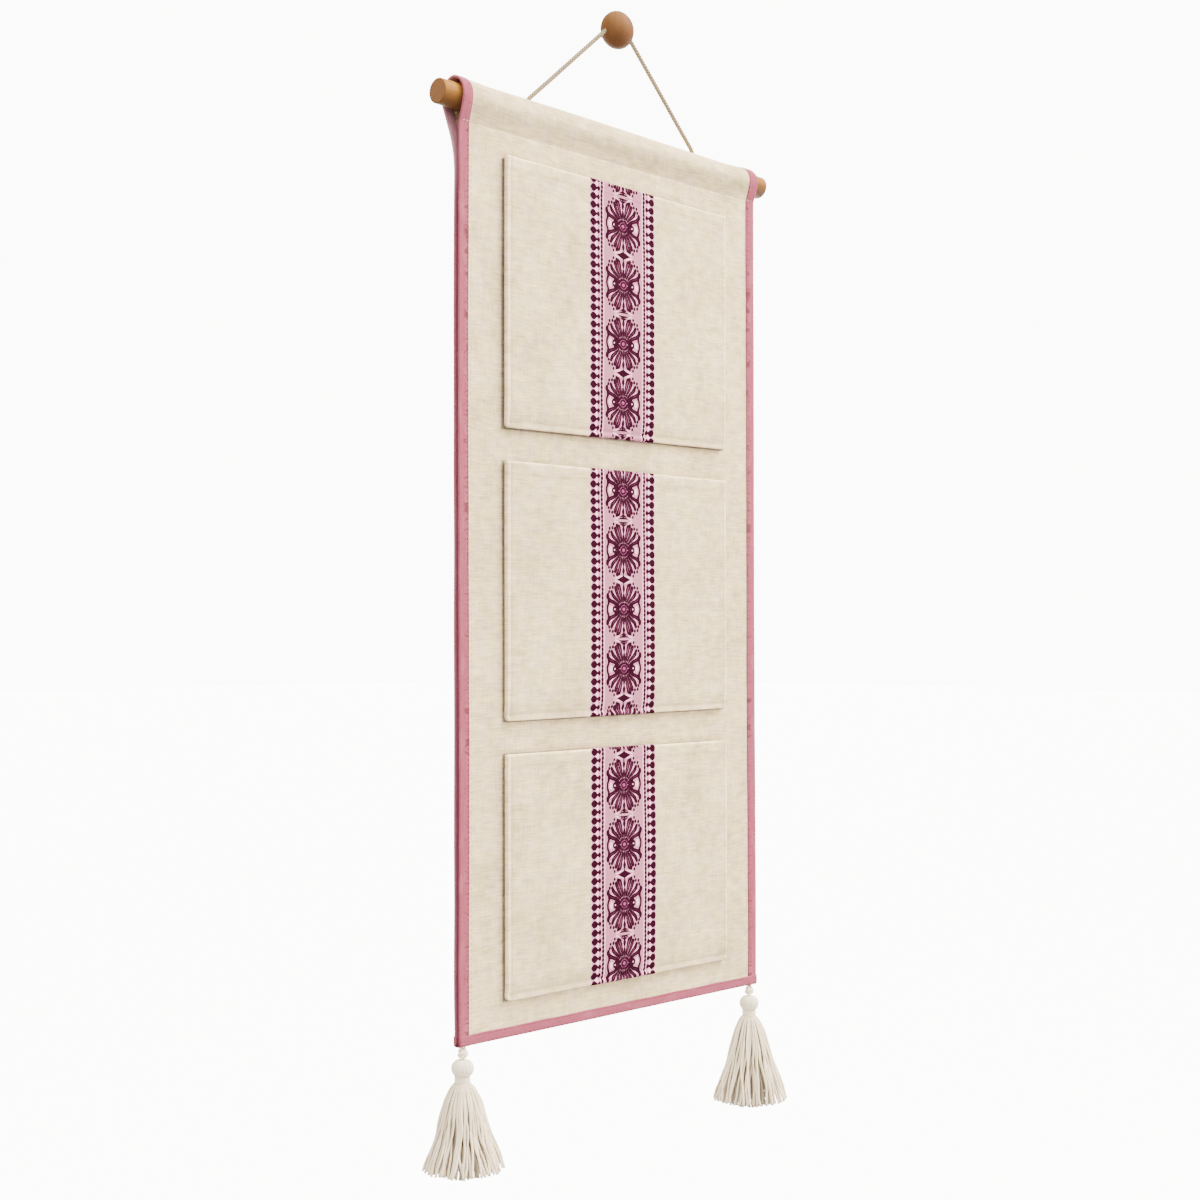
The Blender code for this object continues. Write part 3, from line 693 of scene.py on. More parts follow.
def panel_painted_shading(across, along):
    """Painted light and shade on the panel: painted shade on the roll above the casing seam
    with a painted highlight on its ridge, painted shadow under, beside and above each pocket's
    edges, painted light below its lower edge, and a paler, pinker strip beside the tape."""
    def fade(wire, low, high, to_low=1.0, to_high=0.0):
        return spread(wire, low * MM, high * MM, to_low, to_high)

    def rise(wire, low, high):
        return fade(wire, low, high, 0.0, 1.0)

    past_side = abs(across) - POCKET_HALF * MM
    past_right = across - POCKET_HALF * MM
    on_roll = along - (SEAM_Z - LOWEST) * MM
    # painted shade on the roll's turn above the casing seam, and a painted highlight on the
    # seam's ridge
    painted_roll_shade = (fade(on_roll, 2.0, 9.0, 0.07, 0.30) * fade(on_roll, 10.0, 20.0)
                 * rise(on_roll, 0.0, 0.8))
    tone = (1.0 - painted_roll_shade) * fade(abs(on_roll + 1.1 * MM), 0.3, 1.6, 1.12, 1.0)
    grey = 0.0
    for (low, high), (low_tilt, _) in zip(POCKETS, POCKET_TILTS):
        below = across * (low_tilt / POCKET_HALF) + (low - LOWEST) * MM - along
        above = along - (high - LOWEST) * MM
        beside = fade(above, -1.0, 1.0)
        between_sides = fade(past_side, -3.0, 1.0)
        # painted shadow in the crevice under the pocket's edges, a painted shadow line beside
        # its right edge, painted light below its lower edge and painted shadow above its top
        painted_crevice_shadow = fade(past_side.maths("MAXIMUM", below), 0.4, 1.6) * beside
        painted_edge_shadow = (rise(past_right, 3.8, 4.6) * fade(past_right, 4.8, 5.8)
                   * beside * fade(below, -2.0, 0.0))
        painted_light_below = fade(below, 1.4, 9.0) * rise(below, 0.8, 1.8) * between_sides
        painted_shadow_above = fade(above, 0.0, 5.0) * rise(above, -2.0, 0.0) * between_sides
        for mark, amount in ((painted_edge_shadow, -0.14), (painted_crevice_shadow, -0.64), (painted_light_below, 0.10),
                             (painted_shadow_above, -0.14)):
            tone = tone * (mark * amount + 1.0)
        # the crevice's painted shadow is also made greyer and bluer
        grey = painted_crevice_shadow.maths("MAXIMUM", grey)
    # a paler, pinker strip of linen beside the tape
    strip = rise(abs(across) - (SIDE_X - 0.96 * TAPE_WIDTH - 2.4) * MM, 0.0, 0.8)
    colour = mix(strip, (1.0, 1.0, 1.0), (1.10, 1.03, 1.12))
    return mix(grey, colour, (0.86, 0.93, 1.22)).stronger(tone)


def place_linen(i, j):
    x = (i / CLOTH_COLUMNS * 2 - 1) * CLOTH_HALF_WIDTH
    points = lay_on_fold(x, j)
    return points, np.stack([x * MM, section_runs[j] * MM], axis=1)


linen_mesh = cloth_grid("linen_panel", CLOTH_COLUMNS, len(bound_section) - 1, place_linen)
panel_piece = add_piece("linen_panel", linen_mesh,
                        linen_material("panel linen", panel_painted_shading), ["panel"])
thicken(panel_piece, CLOTH)

# %% [markdown]
# ## Pink tape
# The binding is a cotton tape folded over the raw edge and sewn near its inner edge. Cotton
# tape is woven lengthwise, so it shows fine lines along its length. It is painted darker in
# the valley of the stitching and in small puckers beside it, as painted shade, and it is paler
# where it is worn. Its paler, greyer part on the back of the roll is painted light.

# %% Tape material
def tape_material(name, colour, shade, light, back_light_from):
    """The last argument is the place along the tape where its paler, greyer part on the back
    begins: painted light on the back of the roll.
    """
    material, tree, shader = new_material(name, 0.9, specular=0.08)
    uv, across, along = pattern_uv(tree)
    lines = noise(uv, (2400.0, 60.0, 1.0))
    picks = noise(uv, (200.0, 2200.0, 1.0), 1.0, (4.0, 1.0, 0.0))
    worn = noise(uv, (160.0, 45.0, 1.0), 2.0, (8.0, 3.0, 0.0))
    wander = noise(uv, (30.0, 75.0, 1.0), 1.0, (3.0, 2.0, 0.0))
    tone = lines * 0.6 + picks * 0.4
    # painted shade of small puckers and nicks by the stitching
    pucker_shade = (spread(abs(wander - 0.5), 0.0, 0.016, 1.0, 0.0)
              * spread(across, 3.2 * MM, 5.2 * MM, 1.0, 0.0))
    # painted light: a paler, greyer part on the back of the roll
    painted_back_light = (spread(along, (back_light_from - 32.0) * MM, (back_light_from - 14.0) * MM)
             * spread(along, (back_light_from + 20.0) * MM, (back_light_from + 70.0) * MM, 1.0, 0.15))
    base = mix(spread(tone, 0.3, 0.7), shade, colour)
    base = mix(spread(worn, 0.50, 0.75, 0.0, 0.5), base, light)
    base = mix(pucker_shade * 0.70, base, each_times(shade, 0.40))
    # painted shade along the inner edge, in the valley of the stitching
    base = mix(spread(across, 0.2 * MM, 1.5 * MM, 0.45, 0.0), base, each_times(shade, 0.55))
    mix(painted_back_light, base, (0.52, 0.245, 0.285)).into(shader, "Base Color")
    rib = (along * (math.tau / (0.7 * MM))).maths("SINE")
    bump(shader, tone * 2.0 + rib * 0.25, 0.14)
    return material


tape = tape_material("pink tape", (0.345, 0.082, 0.120), (0.255, 0.055, 0.085),
                     (0.43, 0.122, 0.165), section_runs[BACK_START - ROLL_ROWS // 3])

# %% Sew tape over the side edges
TAPE_COLUMNS = 26
SHOWN = {-1: 0.96, 1: 1.10}             # the right tape is sewn on a little wider
STITCH_IN = TAPE_WIDTH - 1.3            # stitching, in from the fold
STITCH_VALLEY = 0.16                    # how deep the stitching pulls the tape in
TAPE_LIFT = 0.04 + TAPE                 # outside of the tape, off the cloth
SIDES = ((-1, "left"), (1, "right"))


def tape_outline(lift):
    """The folded tape's outside, which lies lift off the cloth, as the run along it, the
    distance in from its fold and the height off the cloth."""
    radius = lift + CLOTH / 2
    straight = TAPE_WIDTH - radius
    total = 2 * straight + math.pi * radius
    run = np.linspace(0.0, total, TAPE_COLUMNS + 1)
    on_flat = np.minimum(run, total - run)
    angle = np.clip((run - straight) / radius, 0.0, math.pi)
    inward = np.where(on_flat < straight, TAPE_WIDTH - on_flat, radius * (1 - np.sin(angle)))
    height = lift - radius * (1 - np.cos(angle))
    valley = STITCH_VALLEY * hump(inward - STITCH_IN, 0.7)
    rounded = 0.22 * smoothstep(inward, TAPE_WIDTH - 0.5, TAPE_WIDTH + 0.01)
    towards_cloth = np.where(run < total / 2, -1.0, 1.0)
    return run, inward, height + towards_cloth * (valley + rounded)


tape_run, tape_inward, tape_height = tape_outline(TAPE_LIFT)


def place_tape(side):
    def place(i, j):
        i = TAPE_COLUMNS - i if side > 0 else i
        wander = 0.10 * np.sin(j * 0.31 + side) + 0.07 * np.sin(j * 0.113 + 2.0 * side)
        inward = (tape_inward[i] + wander * (tape_inward[i] / TAPE_WIDTH)) * SHOWN[side]
        x = side * (SIDE_X - inward)
        points = lay_on_fold(x, j, tape_height[i], bound_only=True)
        return points, np.stack([tape_run[i] * MM, section_runs[j] * MM], axis=1)
    return place


for side, name in SIDES:
    mesh = cloth_grid("tape_" + name, TAPE_COLUMNS, len(bound_section) - 1, place_tape(side))
    tape_piece = add_piece("tape_" + name, mesh, tape, ["binding_" + name])
    thicken(tape_piece, TAPE)

# %% Sew tape over the hem
HEM_COLUMNS = 170
HEM_ROWS = 26


def place_hem(i, j):
    x = (i / HEM_COLUMNS * 2 - 1) * (SIDE_X + 0.2)
    over_side = smoothstep(np.abs(x), SIDE_X - TAPE_WIDTH - 3.0, SIDE_X - TAPE_WIDTH + 0.5)
    layers = BOUND_LAYERS + (BARE_LAYERS + 0.4 - BOUND_LAYERS) * openness(x)
    lift = TAPE_LIFT + over_side * (TAPE + 0.12)
    front = FRONT_Y - lift
    back = FRONT_Y + layers + lift
    radius = 1.3
    depth = back - front
    leg = HEM_TAPE_WIDTH - radius
    floor = depth - 2 * radius
    quarter = math.pi / 2 * radius
    total = 2 * leg + 2 * quarter + floor
    run = (1.0 - j / HEM_ROWS) * total
    back_turn = np.clip((run - leg) / radius, 0.0, math.pi / 2)
    across = np.clip(run - leg - quarter, 0.0, floor)
    front_turn = np.clip((run - leg - quarter - floor) / radius, 0.0, math.pi / 2)
    rise = np.clip(run - leg - 2 * quarter - floor, 0.0, leg)
    fall = np.clip(run, 0.0, leg)
    y = back - radius * (1 - np.cos(back_turn)) - across - radius * np.sin(front_turn)
    z = (HEM_Z + HEM_TAPE_WIDTH - fall - radius * np.sin(back_turn)
         + radius * (1 - np.cos(front_turn)) + rise)
    inward = z - HEM_Z
    valley = STITCH_VALLEY * hump(inward - HEM_TAPE_WIDTH + 1.2, 0.7)
    rounded = 0.2 * smoothstep(inward, HEM_TAPE_WIDTH - 0.5, HEM_TAPE_WIDTH + 0.01)
    y = y + np.where(run > total / 2, 1.0, -1.0) * (valley + rounded)
    y = y + front_sway(x, z)
    z = z + 0.12 * np.sin(x / 7.0) * (inward / HEM_TAPE_WIDTH)
    return (np.stack([x, y, z], axis=1),
            np.stack([run * MM, x * MM], axis=1))


hem_mesh = cloth_grid("tape_hem", HEM_COLUMNS, HEM_ROWS, place_hem)
hem_piece = add_piece("tape_hem", hem_mesh, tape, ["binding_bottom"])
thicken(hem_piece, TAPE)

# %% [markdown]
# ## Stitches
# Machine stitches are short straight threads that dip into the cloth at both ends. Each
# stitch is a small tube, arched a little in its middle, and a whole seam is one mesh.

# %% Stitch helper
def sew(name, starts, length, radius, place, thread):
    """A seam with one thread for each start; place(run, height) gives points along it."""
    def centre(k, t):
        height = radius * (1.5 * np.sin(np.clip(t, 0.0, 1.0) * math.pi) - 0.9)
        return place(starts[k] + (t - 0.5) * length, height)

    mesh = tubes(name, len(starts), 5, 4, centre, radius, length, reference=(0.3, 1.0, 0.2))
    add_piece(name, mesh, thread)


def thread_material(name, colour, shade):
    return yarn_material(name, colour, shade, 2, 0.9, 0.04)


linen_thread = thread_material("linen thread", (0.86, 0.74, 0.54), (0.50, 0.40, 0.27))
pink_thread = thread_material("pink thread", (0.24, 0.045, 0.075), (0.08, 0.012, 0.022))
front_rows = np.arange(FRONT_ROWS + BEND_ROWS + 2)
front_heights = bound_section[:len(front_rows), 1]


def on_panel(x, z, height):
    """Points on the front of the panel at width x and height z."""
    x, z = np.broadcast_arrays(x, z)
    return lay_on_fold(x, np.interp(z, front_heights, front_rows), height)


# %% Sew the panel
CASING_LINE = SEAM_Z + 0.4
HEM_LINE = HEM_Z + HEM_TAPE_WIDTH - 1.0

for side, name in SIDES:
    sew("panel_stitches_" + name, np.arange(HEM_Z + TAPE_WIDTH + 3.0, SEAM_Z - 2.0, 4.3),
        3.1, 0.20, lambda run, height: on_panel(side * (SIDE_X - TAPE_WIDTH - 1.9), run,
                                                height), linen_thread)
    sew("tape_stitches_" + name, np.arange(HEM_Z + 11.0, SEAM_Z - 2.0, 3.2), 1.9, 0.22,
        lambda run, height: on_panel(side * (SIDE_X - STITCH_IN), run, height + 0.36),
        pink_thread)
sew("casing_stitches", np.arange(-SIDE_X + 11.0, SIDE_X - 10.0, 3.6), 2.8, 0.18,
    lambda run, height: on_panel(run, CASING_LINE, height), linen_thread)
for side, name in SIDES:
    sew("casing_end_stitches_" + name, side * np.arange(SIDE_X - 8.6, SIDE_X - 1.0, 2.6),
        1.9, 0.24, lambda run, height: on_panel(run, CASING_LINE, height + 0.40),
        linen_thread)
sew("hem_stitches", np.arange(-SIDE_X + 14.0, SIDE_X - 13.0, 2.4), 1.3, 0.26,
    lambda run, height: on_panel(run, HEM_LINE, height + 0.30), pink_thread)

# %% [markdown]
# ## Patch pockets
# A patch pocket is a rectangle of cloth whose top is hemmed and whose other three edges are
# turned in and sewn down. These are cut a little full, so each face stands away from the
# panel like the lid of a shallow box. The cloth is laid with one rule: measure how far a
# point lies past an inner rectangle, bend that distance over the fold, and drop the rest
# straight down to the panel. The rule turns the lower corners by itself.

# %% Shape of a pocket
POCKET_PROUD = 4.5
PLAN_RADIUS = 2.6                       # rounding of the lower corners
FOLD_RADIUS = 1.1                       # softness of the face's edge
TUCK_RADIUS = 0.6                       # softness where the edge turns under
TUCK_HEIGHT = 1.7                       # gap below that turn
HEM_DEPTH = 7.5
HEM_RADIUS = 0.8
POCKET_STITCH_IN = 3.2                  # side stitching, in from the pocket's edge
POCKET_STITCH_UP = 3.4                  # lower stitching, up from the pocket's edge

# section of a turned edge: reach outward, drop toward the panel, and the turn of its face
arc = np.linspace(0.0, math.pi / 2, 7)
wall_end = POCKET_PROUD - TUCK_HEIGHT
EDGE = np.array(
    [(0.0, 0.0, 0.0)]
    + [(PLAN_RADIUS - FOLD_RADIUS * (1 - math.sin(a)), FOLD_RADIUS * (1 - math.cos(a)), a)
       for a in arc]
    + [(PLAN_RADIUS - TUCK_RADIUS * (1 - math.cos(a)), wall_end + TUCK_RADIUS * math.sin(a),
        a + math.pi / 2) for a in arc]
    + [(0.15, POCKET_PROUD - 0.1, math.pi - 0.4)])
EDGE_RUNS = run_lengths(EDGE[:, :2])
SIDE_RUN = POCKET_HALF - PLAN_RADIUS + EDGE_RUNS[-1]
LOW_RUN = PLAN_RADIUS - EDGE_RUNS[-1]


# each crease: across, up, lean, half length, half width, height off the face, in mm
POCKET_CREASES = (
    ((-70.0, 60.0, 0.4, 26.0, 4.5, 0.30), (64.0, 96.0, -0.5, 30.0, 5.0, -0.30),
     (-58.0, 128.0, -0.15, 24.0, 3.5, -0.22), (78.0, 40.0, 1.1, 18.0, 4.0, 0.25)),
    ((-66.0, 118.0, -0.6, 28.0, 4.5, -0.32), (70.0, 60.0, 0.5, 26.0, 4.5, 0.30),
     (-80.0, 44.0, 0.9, 20.0, 4.0, 0.25), (58.0, 132.0, 0.1, 22.0, 3.5, -0.20)),
    ((-62.0, 52.0, -0.35, 27.0, 4.5, 0.30), (68.0, 104.0, 0.6, 25.0, 4.5, -0.32),
     (-74.0, 108.0, 0.2, 22.0, 3.5, -0.22), (72.0, 36.0, -0.8, 20.0, 4.0, 0.25)),
)


def pocket_swell(number, x, up, height):
    """How far the face of a pocket lies in front of flat: its belly, soft creases given one
    by one, the dip along the stitching and the thicker hem."""
    belly = 0.5 * np.cos(math.pi * x / (2 * POCKET_HALF)) * np.sin(
        math.pi * np.clip(up / height, 0.0, 1.0))
    calm = smoothstep(POCKET_HALF - np.abs(x), 3.0, 22.0) * smoothstep(up, 4.0, 24.0)
    phase = 1.7 * number
    waves = (0.30 * np.sin(x / 31.0 + phase) * np.sin(up / 44.0 + 0.8 * phase)
             + 0.14 * np.sin(x / 17.0 - up / 23.0 + phase)
             + 0.06 * np.sin(up / 6.3 + 2.0 * np.sin(x / 40.0) + phase))
    crease = np.zeros_like(x)
    for across, rise, lean, long, wide, deep in POCKET_CREASES[number]:
        along = (x - across) * math.cos(lean) + (up - rise) * math.sin(lean)
        aside = -(x - across) * math.sin(lean) + (up - rise) * math.cos(lean)
        crease += deep * np.exp(-(along / long) ** 2 - (aside / wide) ** 2)
    low_dip = -0.9 * hump(up - POCKET_STITCH_UP, 1.5) - 0.5 * hump(up - 6.0, 3.4)
    side_dip = -0.30 * hump(POCKET_HALF - np.abs(x) - POCKET_STITCH_IN, 1.1)
    hem = 0.28 * smoothstep(up, height - HEM_DEPTH - 0.8, height - HEM_DEPTH + 0.8)
    return belly + calm * waves + crease + low_dip + side_dip + hem


def pocket_surface(number, a, b, raised=0.0):
    """Points a along the cloth from the middle and b up from the lower edge, and raised off
    it. Past the top hem line the cloth turns over and goes down inside."""
    a, b = np.broadcast_arrays(a, b)
    low, high = POCKETS[number]
    height = high - low
    over = np.clip(b - (height - HEM_RADIUS), 0.0, None)
    up = np.minimum(b, height - HEM_RADIUS)
    past_side = np.maximum(np.abs(a) - (POCKET_HALF - PLAN_RADIUS), 0.0)
    past_low = np.maximum(PLAN_RADIUS - up, 0.0)
    past = np.hypot(past_side, past_low)
    toward_side = past_side / np.maximum(past, 1e-9)
    toward_low = past_low / np.maximum(past, 1e-9)
    reach, drop, turn = look_up(EDGE, EDGE_RUNS, past).T
    sign = np.sign(a)
    x = sign * (np.minimum(np.abs(a), POCKET_HALF - PLAN_RADIUS) + toward_side * reach)
    z = np.maximum(up, PLAN_RADIUS) - toward_low * reach
    swell = pocket_swell(number, x, z, height) * (1 - drop / POCKET_PROUD)
    facing = np.stack([sign * toward_side * np.sin(turn), -np.cos(turn),
                       -toward_low * np.sin(turn)], axis=1)
    points = np.stack([x, FRONT_Y - POCKET_PROUD - swell + drop, z + low], axis=1)
    roll = HEM_RADIUS + raised
    over_angle = np.clip(over / HEM_RADIUS, 0.0, math.pi)
    down = np.clip(over - math.pi * HEM_RADIUS, 0.0, None)
    level = np.where(over > 0, roll * np.cos(over_angle) - HEM_RADIUS, raised)
    points = points + facing * np.reshape(level, (-1, 1))
    points[:, 2] += roll * np.sin(over_angle) - down
    low_tilt, high_tilt = POCKET_TILTS[number]
    rise = np.clip((points[:, 2] - low) / height, 0.0, 1.0)
    points[:, 2] += points[:, 0] / POCKET_HALF * (low_tilt * (1 - rise) + high_tilt * rise)
    return points


# %% Cut and fold the three pockets
def uneven(total, knots):
    """Grid lines spread as listed: knots are (grid line, distance) pairs."""
    lines, places = zip(*knots)
    return np.interp(np.arange(total + 1), lines, places)


COLUMNS = 144
ROWS = 118
TURN_LINES = (0, 2, 7, 10, 16)          # grid lines over a turned edge, from its cut end
CUT_APART = np.array([0.31, 0.47])      # from one pocket's place in the linen to the next, m


def pocket_painted_shading(a, b, height):
    """Painted light and shade on a pocket: painted highlights on the turned margin and the top
    fold, a little lighter on the hem, and painted shade along the stitching and the hem line,
    towards the lower edge, on the side wall and where the edge tucks under.
    """
    to_side = POCKET_HALF - np.abs(a)
    # painted highlight on the turned margin, a little cooler in colour
    outside = smoothstep(to_side, 3.0, 2.3) * smoothstep(b, -1.5, 0.5)
    outside = np.maximum(outside, 1.5 * smoothstep(b, 1.2, 0.6) * smoothstep(b, -1.2, -0.2))
    # painted highlight on the top fold
    fold = hump(b - height - 0.2, 1.3)
    hem = smoothstep(b, height - HEM_DEPTH - 0.5, height - HEM_DEPTH + 0.8)
    # painted shade along the hem line and the side stitching, towards the lower edge, where
    # the edge tucks under and on the side wall
    hem_line_shade = hump(b - height + HEM_DEPTH + 0.6, 0.8)
    stitch_shade = hump(to_side - 3.5, 0.7)
    low = np.exp(-(b - 4.0).clip(0.0) / 5.0)
    tuck_shadow = smoothstep(np.minimum(to_side, b), -1.6, -3.2)
    wall = smoothstep(to_side, 0.5, -0.5)
    tone = (1.0 + 0.28 * outside + 0.60 * fold + 0.04 * hem - 0.10 * hem_line_shade - 0.14 * stitch_shade
            - 0.14 * low) * (1.0 - 0.70 * tuck_shadow) * (1.0 - 0.10 * wall)
    return tone[:, None] * (1.0 + outside[:, None] * np.array([[0.02, 0.0, 0.10]]))


turned = EDGE_RUNS[-1] - EDGE_RUNS[[-1, -2, 8, 7, 1]]
side_knots = [*zip(TURN_LINES, SIDE_RUN - turned), (24, POCKET_HALF - 8.0)]
across = uneven(COLUMNS, [(line, -place) for line, place in side_knots]
                + [(COLUMNS - line, place) for line, place in side_knots[::-1]])

for number, (low, high) in enumerate(POCKETS):
    height = high - low
    top_run = height - HEM_RADIUS
    over_run = top_run + math.pi * HEM_RADIUS
    upward = uneven(ROWS, [*zip(TURN_LINES, LOW_RUN + turned), (25, 9.0),
                           (96, height - 12.0), (106, top_run), (114, over_run),
                           (ROWS, over_run + HEM_DEPTH)])

    def place_pocket(i, j):
        places = np.stack([across[i], upward[j]], axis=1)
        return pocket_surface(number, across[i], upward[j]), places * MM + CUT_APART * number

    end = "_" + str(number + 1)
    mesh = cloth_grid("pocket_cloth" + end, COLUMNS, ROWS, place_pocket)
    laid = (grid_places(mesh) - CUT_APART * number) / MM
    # each pocket's painted light and shade is stored on its vertices
    write_colour(mesh, "painted_shading", pocket_painted_shading(laid[:, 0], laid[:, 1], height))
    pocket_piece = add_piece("pocket_cloth" + end, mesh, linen, ["pocket" + end])
    thicken(pocket_piece, CLOTH)
    2 * SIDE_RUN * MM
    for side, name in SIDES:
        sew("pocket_stitches_" + name + end, np.arange(8.0, height - 2.0, 3.4), 2.6, 0.17,
            lambda run, lift: pocket_surface(number, side * (POCKET_HALF - POCKET_STITCH_IN),
                                             run, lift), linen_thread)
    sew("pocket_stitches_low" + end, np.arange(-POCKET_HALF + 5.0, POCKET_HALF - 4.0, 3.4),
        2.6, 0.17, lambda run, lift: pocket_surface(number, run, POCKET_STITCH_UP, lift),
        linen_thread)

# %% [markdown]
# ## Woven ribbon
# The ribbon is a jacquard: purple and pale pink yarns float on a greyish pink ground. Its
# pattern is an old kind of border, a palmette that repeats between rows of beads. It is
# charted here as strokes and beads for one quarter, then mirrored both ways and
# repeated. Each vertex stores how far it lies inside a figure, so the material can draw a
# crisp edge between vertices.

# %% Chart of the ribbon
RIBBON_HALF = (box_mm("ribbon_1")[1][0] - box_mm("ribbon_1")[0][0]) / 2
REPEAT = 40.0
BEADS = 7


def stroke(x, y, *line):
    """Distance inside a brush stroke; each knot is across, up and half width."""
    inside = np.full(x.shape, -9.0)
    for (ax, ay, aw), (bx, by, bw) in zip(line, line[1:]):
        long = (bx - ax) ** 2 + (by - ay) ** 2
        t = np.clip(((x - ax) * (bx - ax) + (y - ay) * (by - ay)) / long, 0.0, 1.0)
        away = np.hypot(x - ax - t * (bx - ax), y - ay - t * (by - ay))
        inside = np.maximum(inside, aw + (bw - aw) * t - away)
    return inside


def bead(x, y, cx, cy, rx, ry, power=2.0):
    """Distance inside a bead, rounder or more pointed with the power."""
    away = (np.abs((x - cx) / rx) ** power + np.abs((y - cy) / ry) ** power) ** (1 / power)
    return (1 - away) * min(rx, ry)


def figure(x, y, strokes, beads, *others):
    """Distance inside the nearest of many strokes and beads."""
    return np.max([stroke(x, y, *knots) for knots in strokes]
                  + [bead(x, y, *size) for size in beads] + [*others], axis=0)


# strokes are knots of across, up and half width; beads are across, up, two half sizes and,
# where it is not round, a power
DARK_STROKES = (
    ((0, 16.4, 0.3), (0, 13.9, 1.2), (0, 11.8, 0.4)),
    ((0, 10.4, 0.4), (0, 8.2, 1.0), (0, 5.4, 0.5)),
    ((1.6, 5.4, 0.5), (2.6, 8.6, 1.15), (3.5, 12.2, 1.50), (4.8, 15.4, 1.6), (6.5, 16.6, 1.0)),
    ((3.1, 5.0, 0.5), (5.3, 8.4, 1.10), (7.1, 11.6, 1.30), (8.3, 14.4, 1.1)),
    ((4.4, 4.1, 0.5), (7.8, 6.9, 1.10), (10.6, 9.2, 1.25), (12.0, 11.9, 0.9)),
    ((5.2, 2.9, 0.5), (8.8, 4.3, 1.05), (12.6, 5.6, 1.15), (15.0, 7.2, 1.1)),
    ((15.0, 6.2, 0.8), (14.8, 4.2, 0.75), (15.9, 1.8, 0.65), (16.1, 0, 0.6)),
    ((5.6, 1.3, 0.45), (7.0, 2.1, 0.75), (8.6, 2.9, 0.5)),
)
DARK_BEADS = ((15.8, 8.8, 1.25, 1.8), (13.6, 14.4, 0.8, 0.9), (10.9, 14.8, 0.75, 0.95),
              (14.4, 11.8, 0.75, 0.85), (9.6, 17.4, 0.7, 0.8), (6.2, 0.0, 0.55, 0.55))
PALE_STROKES = (
    ((0.55, 2.6, 0.25), (0.95, 7.0, 0.34), (1.45, 10.6, 0.42), (2.0, 14.2, 0.45)),
    ((1.6, 2.8, 0.20), (3.1, 6.9, 0.36), (4.5, 9.6, 0.42), (5.8, 12.8, 0.45)),
    ((2.6, 2.6, 0.20), (4.9, 6.0, 0.36), (7.3, 8.8, 0.40), (9.3, 11.6, 0.42)),
    ((3.2, 1.7, 0.20), (6.0, 4.3, 0.34), (9.0, 6.1, 0.40), (12.4, 8.0, 0.42)),
    ((0.8, 17.6, 0.35), (4.4, 18.3, 0.45), (8.4, 19.3, 0.35)),
    ((0.0, 2.8, 0.30), (0.0, 4.6, 0.30)),
)
PALE_BEADS = ((12.6, 0, 1.7, 2.7, 1.3), (8.9, 0.0, 0.6, 0.6), (0.0, 0.0, 1.15, 1.0),
              (3.9, 0.0, 0.80, 0.55), (2.0, 1.8, 0.50, 0.45), (0.0, 2.5, 0.50, 0.45))
MIDDLE_STROKES = (
    ((1.9, 6.4, 0.25), (2.7, 9.0, 0.50), (3.6, 12.2, 0.65), (4.8, 15.2, 0.60)),
    ((3.7, 6.0, 0.20), (5.4, 8.6, 0.45), (7.1, 11.6, 0.50), (8.0, 13.8, 0.40)),
    ((5.6, 5.1, 0.20), (7.9, 7.0, 0.45), (10.5, 9.2, 0.50)),
    ((6.6, 3.5, 0.20), (9.0, 4.4, 0.40), (12.6, 5.7, 0.45), (14.6, 7.0, 0.35)),
    ((0, 6.4, 0.20), (0, 8.2, 0.45), (0, 9.6, 0.20)),
    ((0, 12.8, 0.20), (0, 14.0, 0.45), (0, 15.0, 0.20)),
)


def palmette(x, y, split_star):
    """Dark, pale and middle figures of one repeat; x and y are folded to one quarter."""
    from_middle = np.hypot(x, 1.15 * y)
    dark = figure(x, y, DARK_STROKES, DARK_BEADS, 5.2 - from_middle,
                  0.50 - np.abs(np.hypot(x - 8.9, y) - 1.45))
    pale = figure(x, y, PALE_STROKES, PALE_BEADS)
    middle = figure(x, y, MIDDLE_STROKES, (),
                    np.minimum(3.6 - from_middle, np.abs(from_middle - 2.1) - 0.35))
    star_y = REPEAT / 2 - y
    whole = bead(x, star_y, 0, 0, 6.4, 3.0, 0.85)
    halves = np.minimum(bead(x, star_y, 0, 1.2, 4.9, 2.9, 1.1), star_y - 1.1)
    dark = np.maximum(dark, np.where(split_star, halves, whole))
    dark = np.minimum(np.minimum(dark, -pale - 0.05), -middle)
    return dark, pale, middle


def border(edge, y):
    """Dark and pale figures of the beaded border; edge is the distance in from the side."""
    pitch = REPEAT / BEADS
    step = np.abs((y / pitch) % 1.0 - 0.5) * pitch          # from half-way between beads
    near = pitch / 2 - step                                 # from the nearest bead
    half_step = np.abs((2 * y / pitch) % 1.0 - 0.5) * pitch / 2
    dark = np.max([
        bead(edge, near, 3.1, 0, 2.60, 2.25, 1.9),
        stroke(edge, near, (4.8, 0, 0.45), (7.6, 0, 0.40)),
        bead(edge, near, 8.0, 0, 1.15, 1.35),
        bead(edge, half_step, 11.0, 0, 0.95, 1.05),
        0.02 - np.abs(edge - 11.0),
    ], axis=0)
    pale = np.max([
        bead(edge, step, 5.6, 0, 1.6, 1.9),
        0.45 - np.abs(edge - 9.5),
        0.45 - np.abs(edge - 12.6),
        0.75 - edge,
    ], axis=0)
    return dark, pale


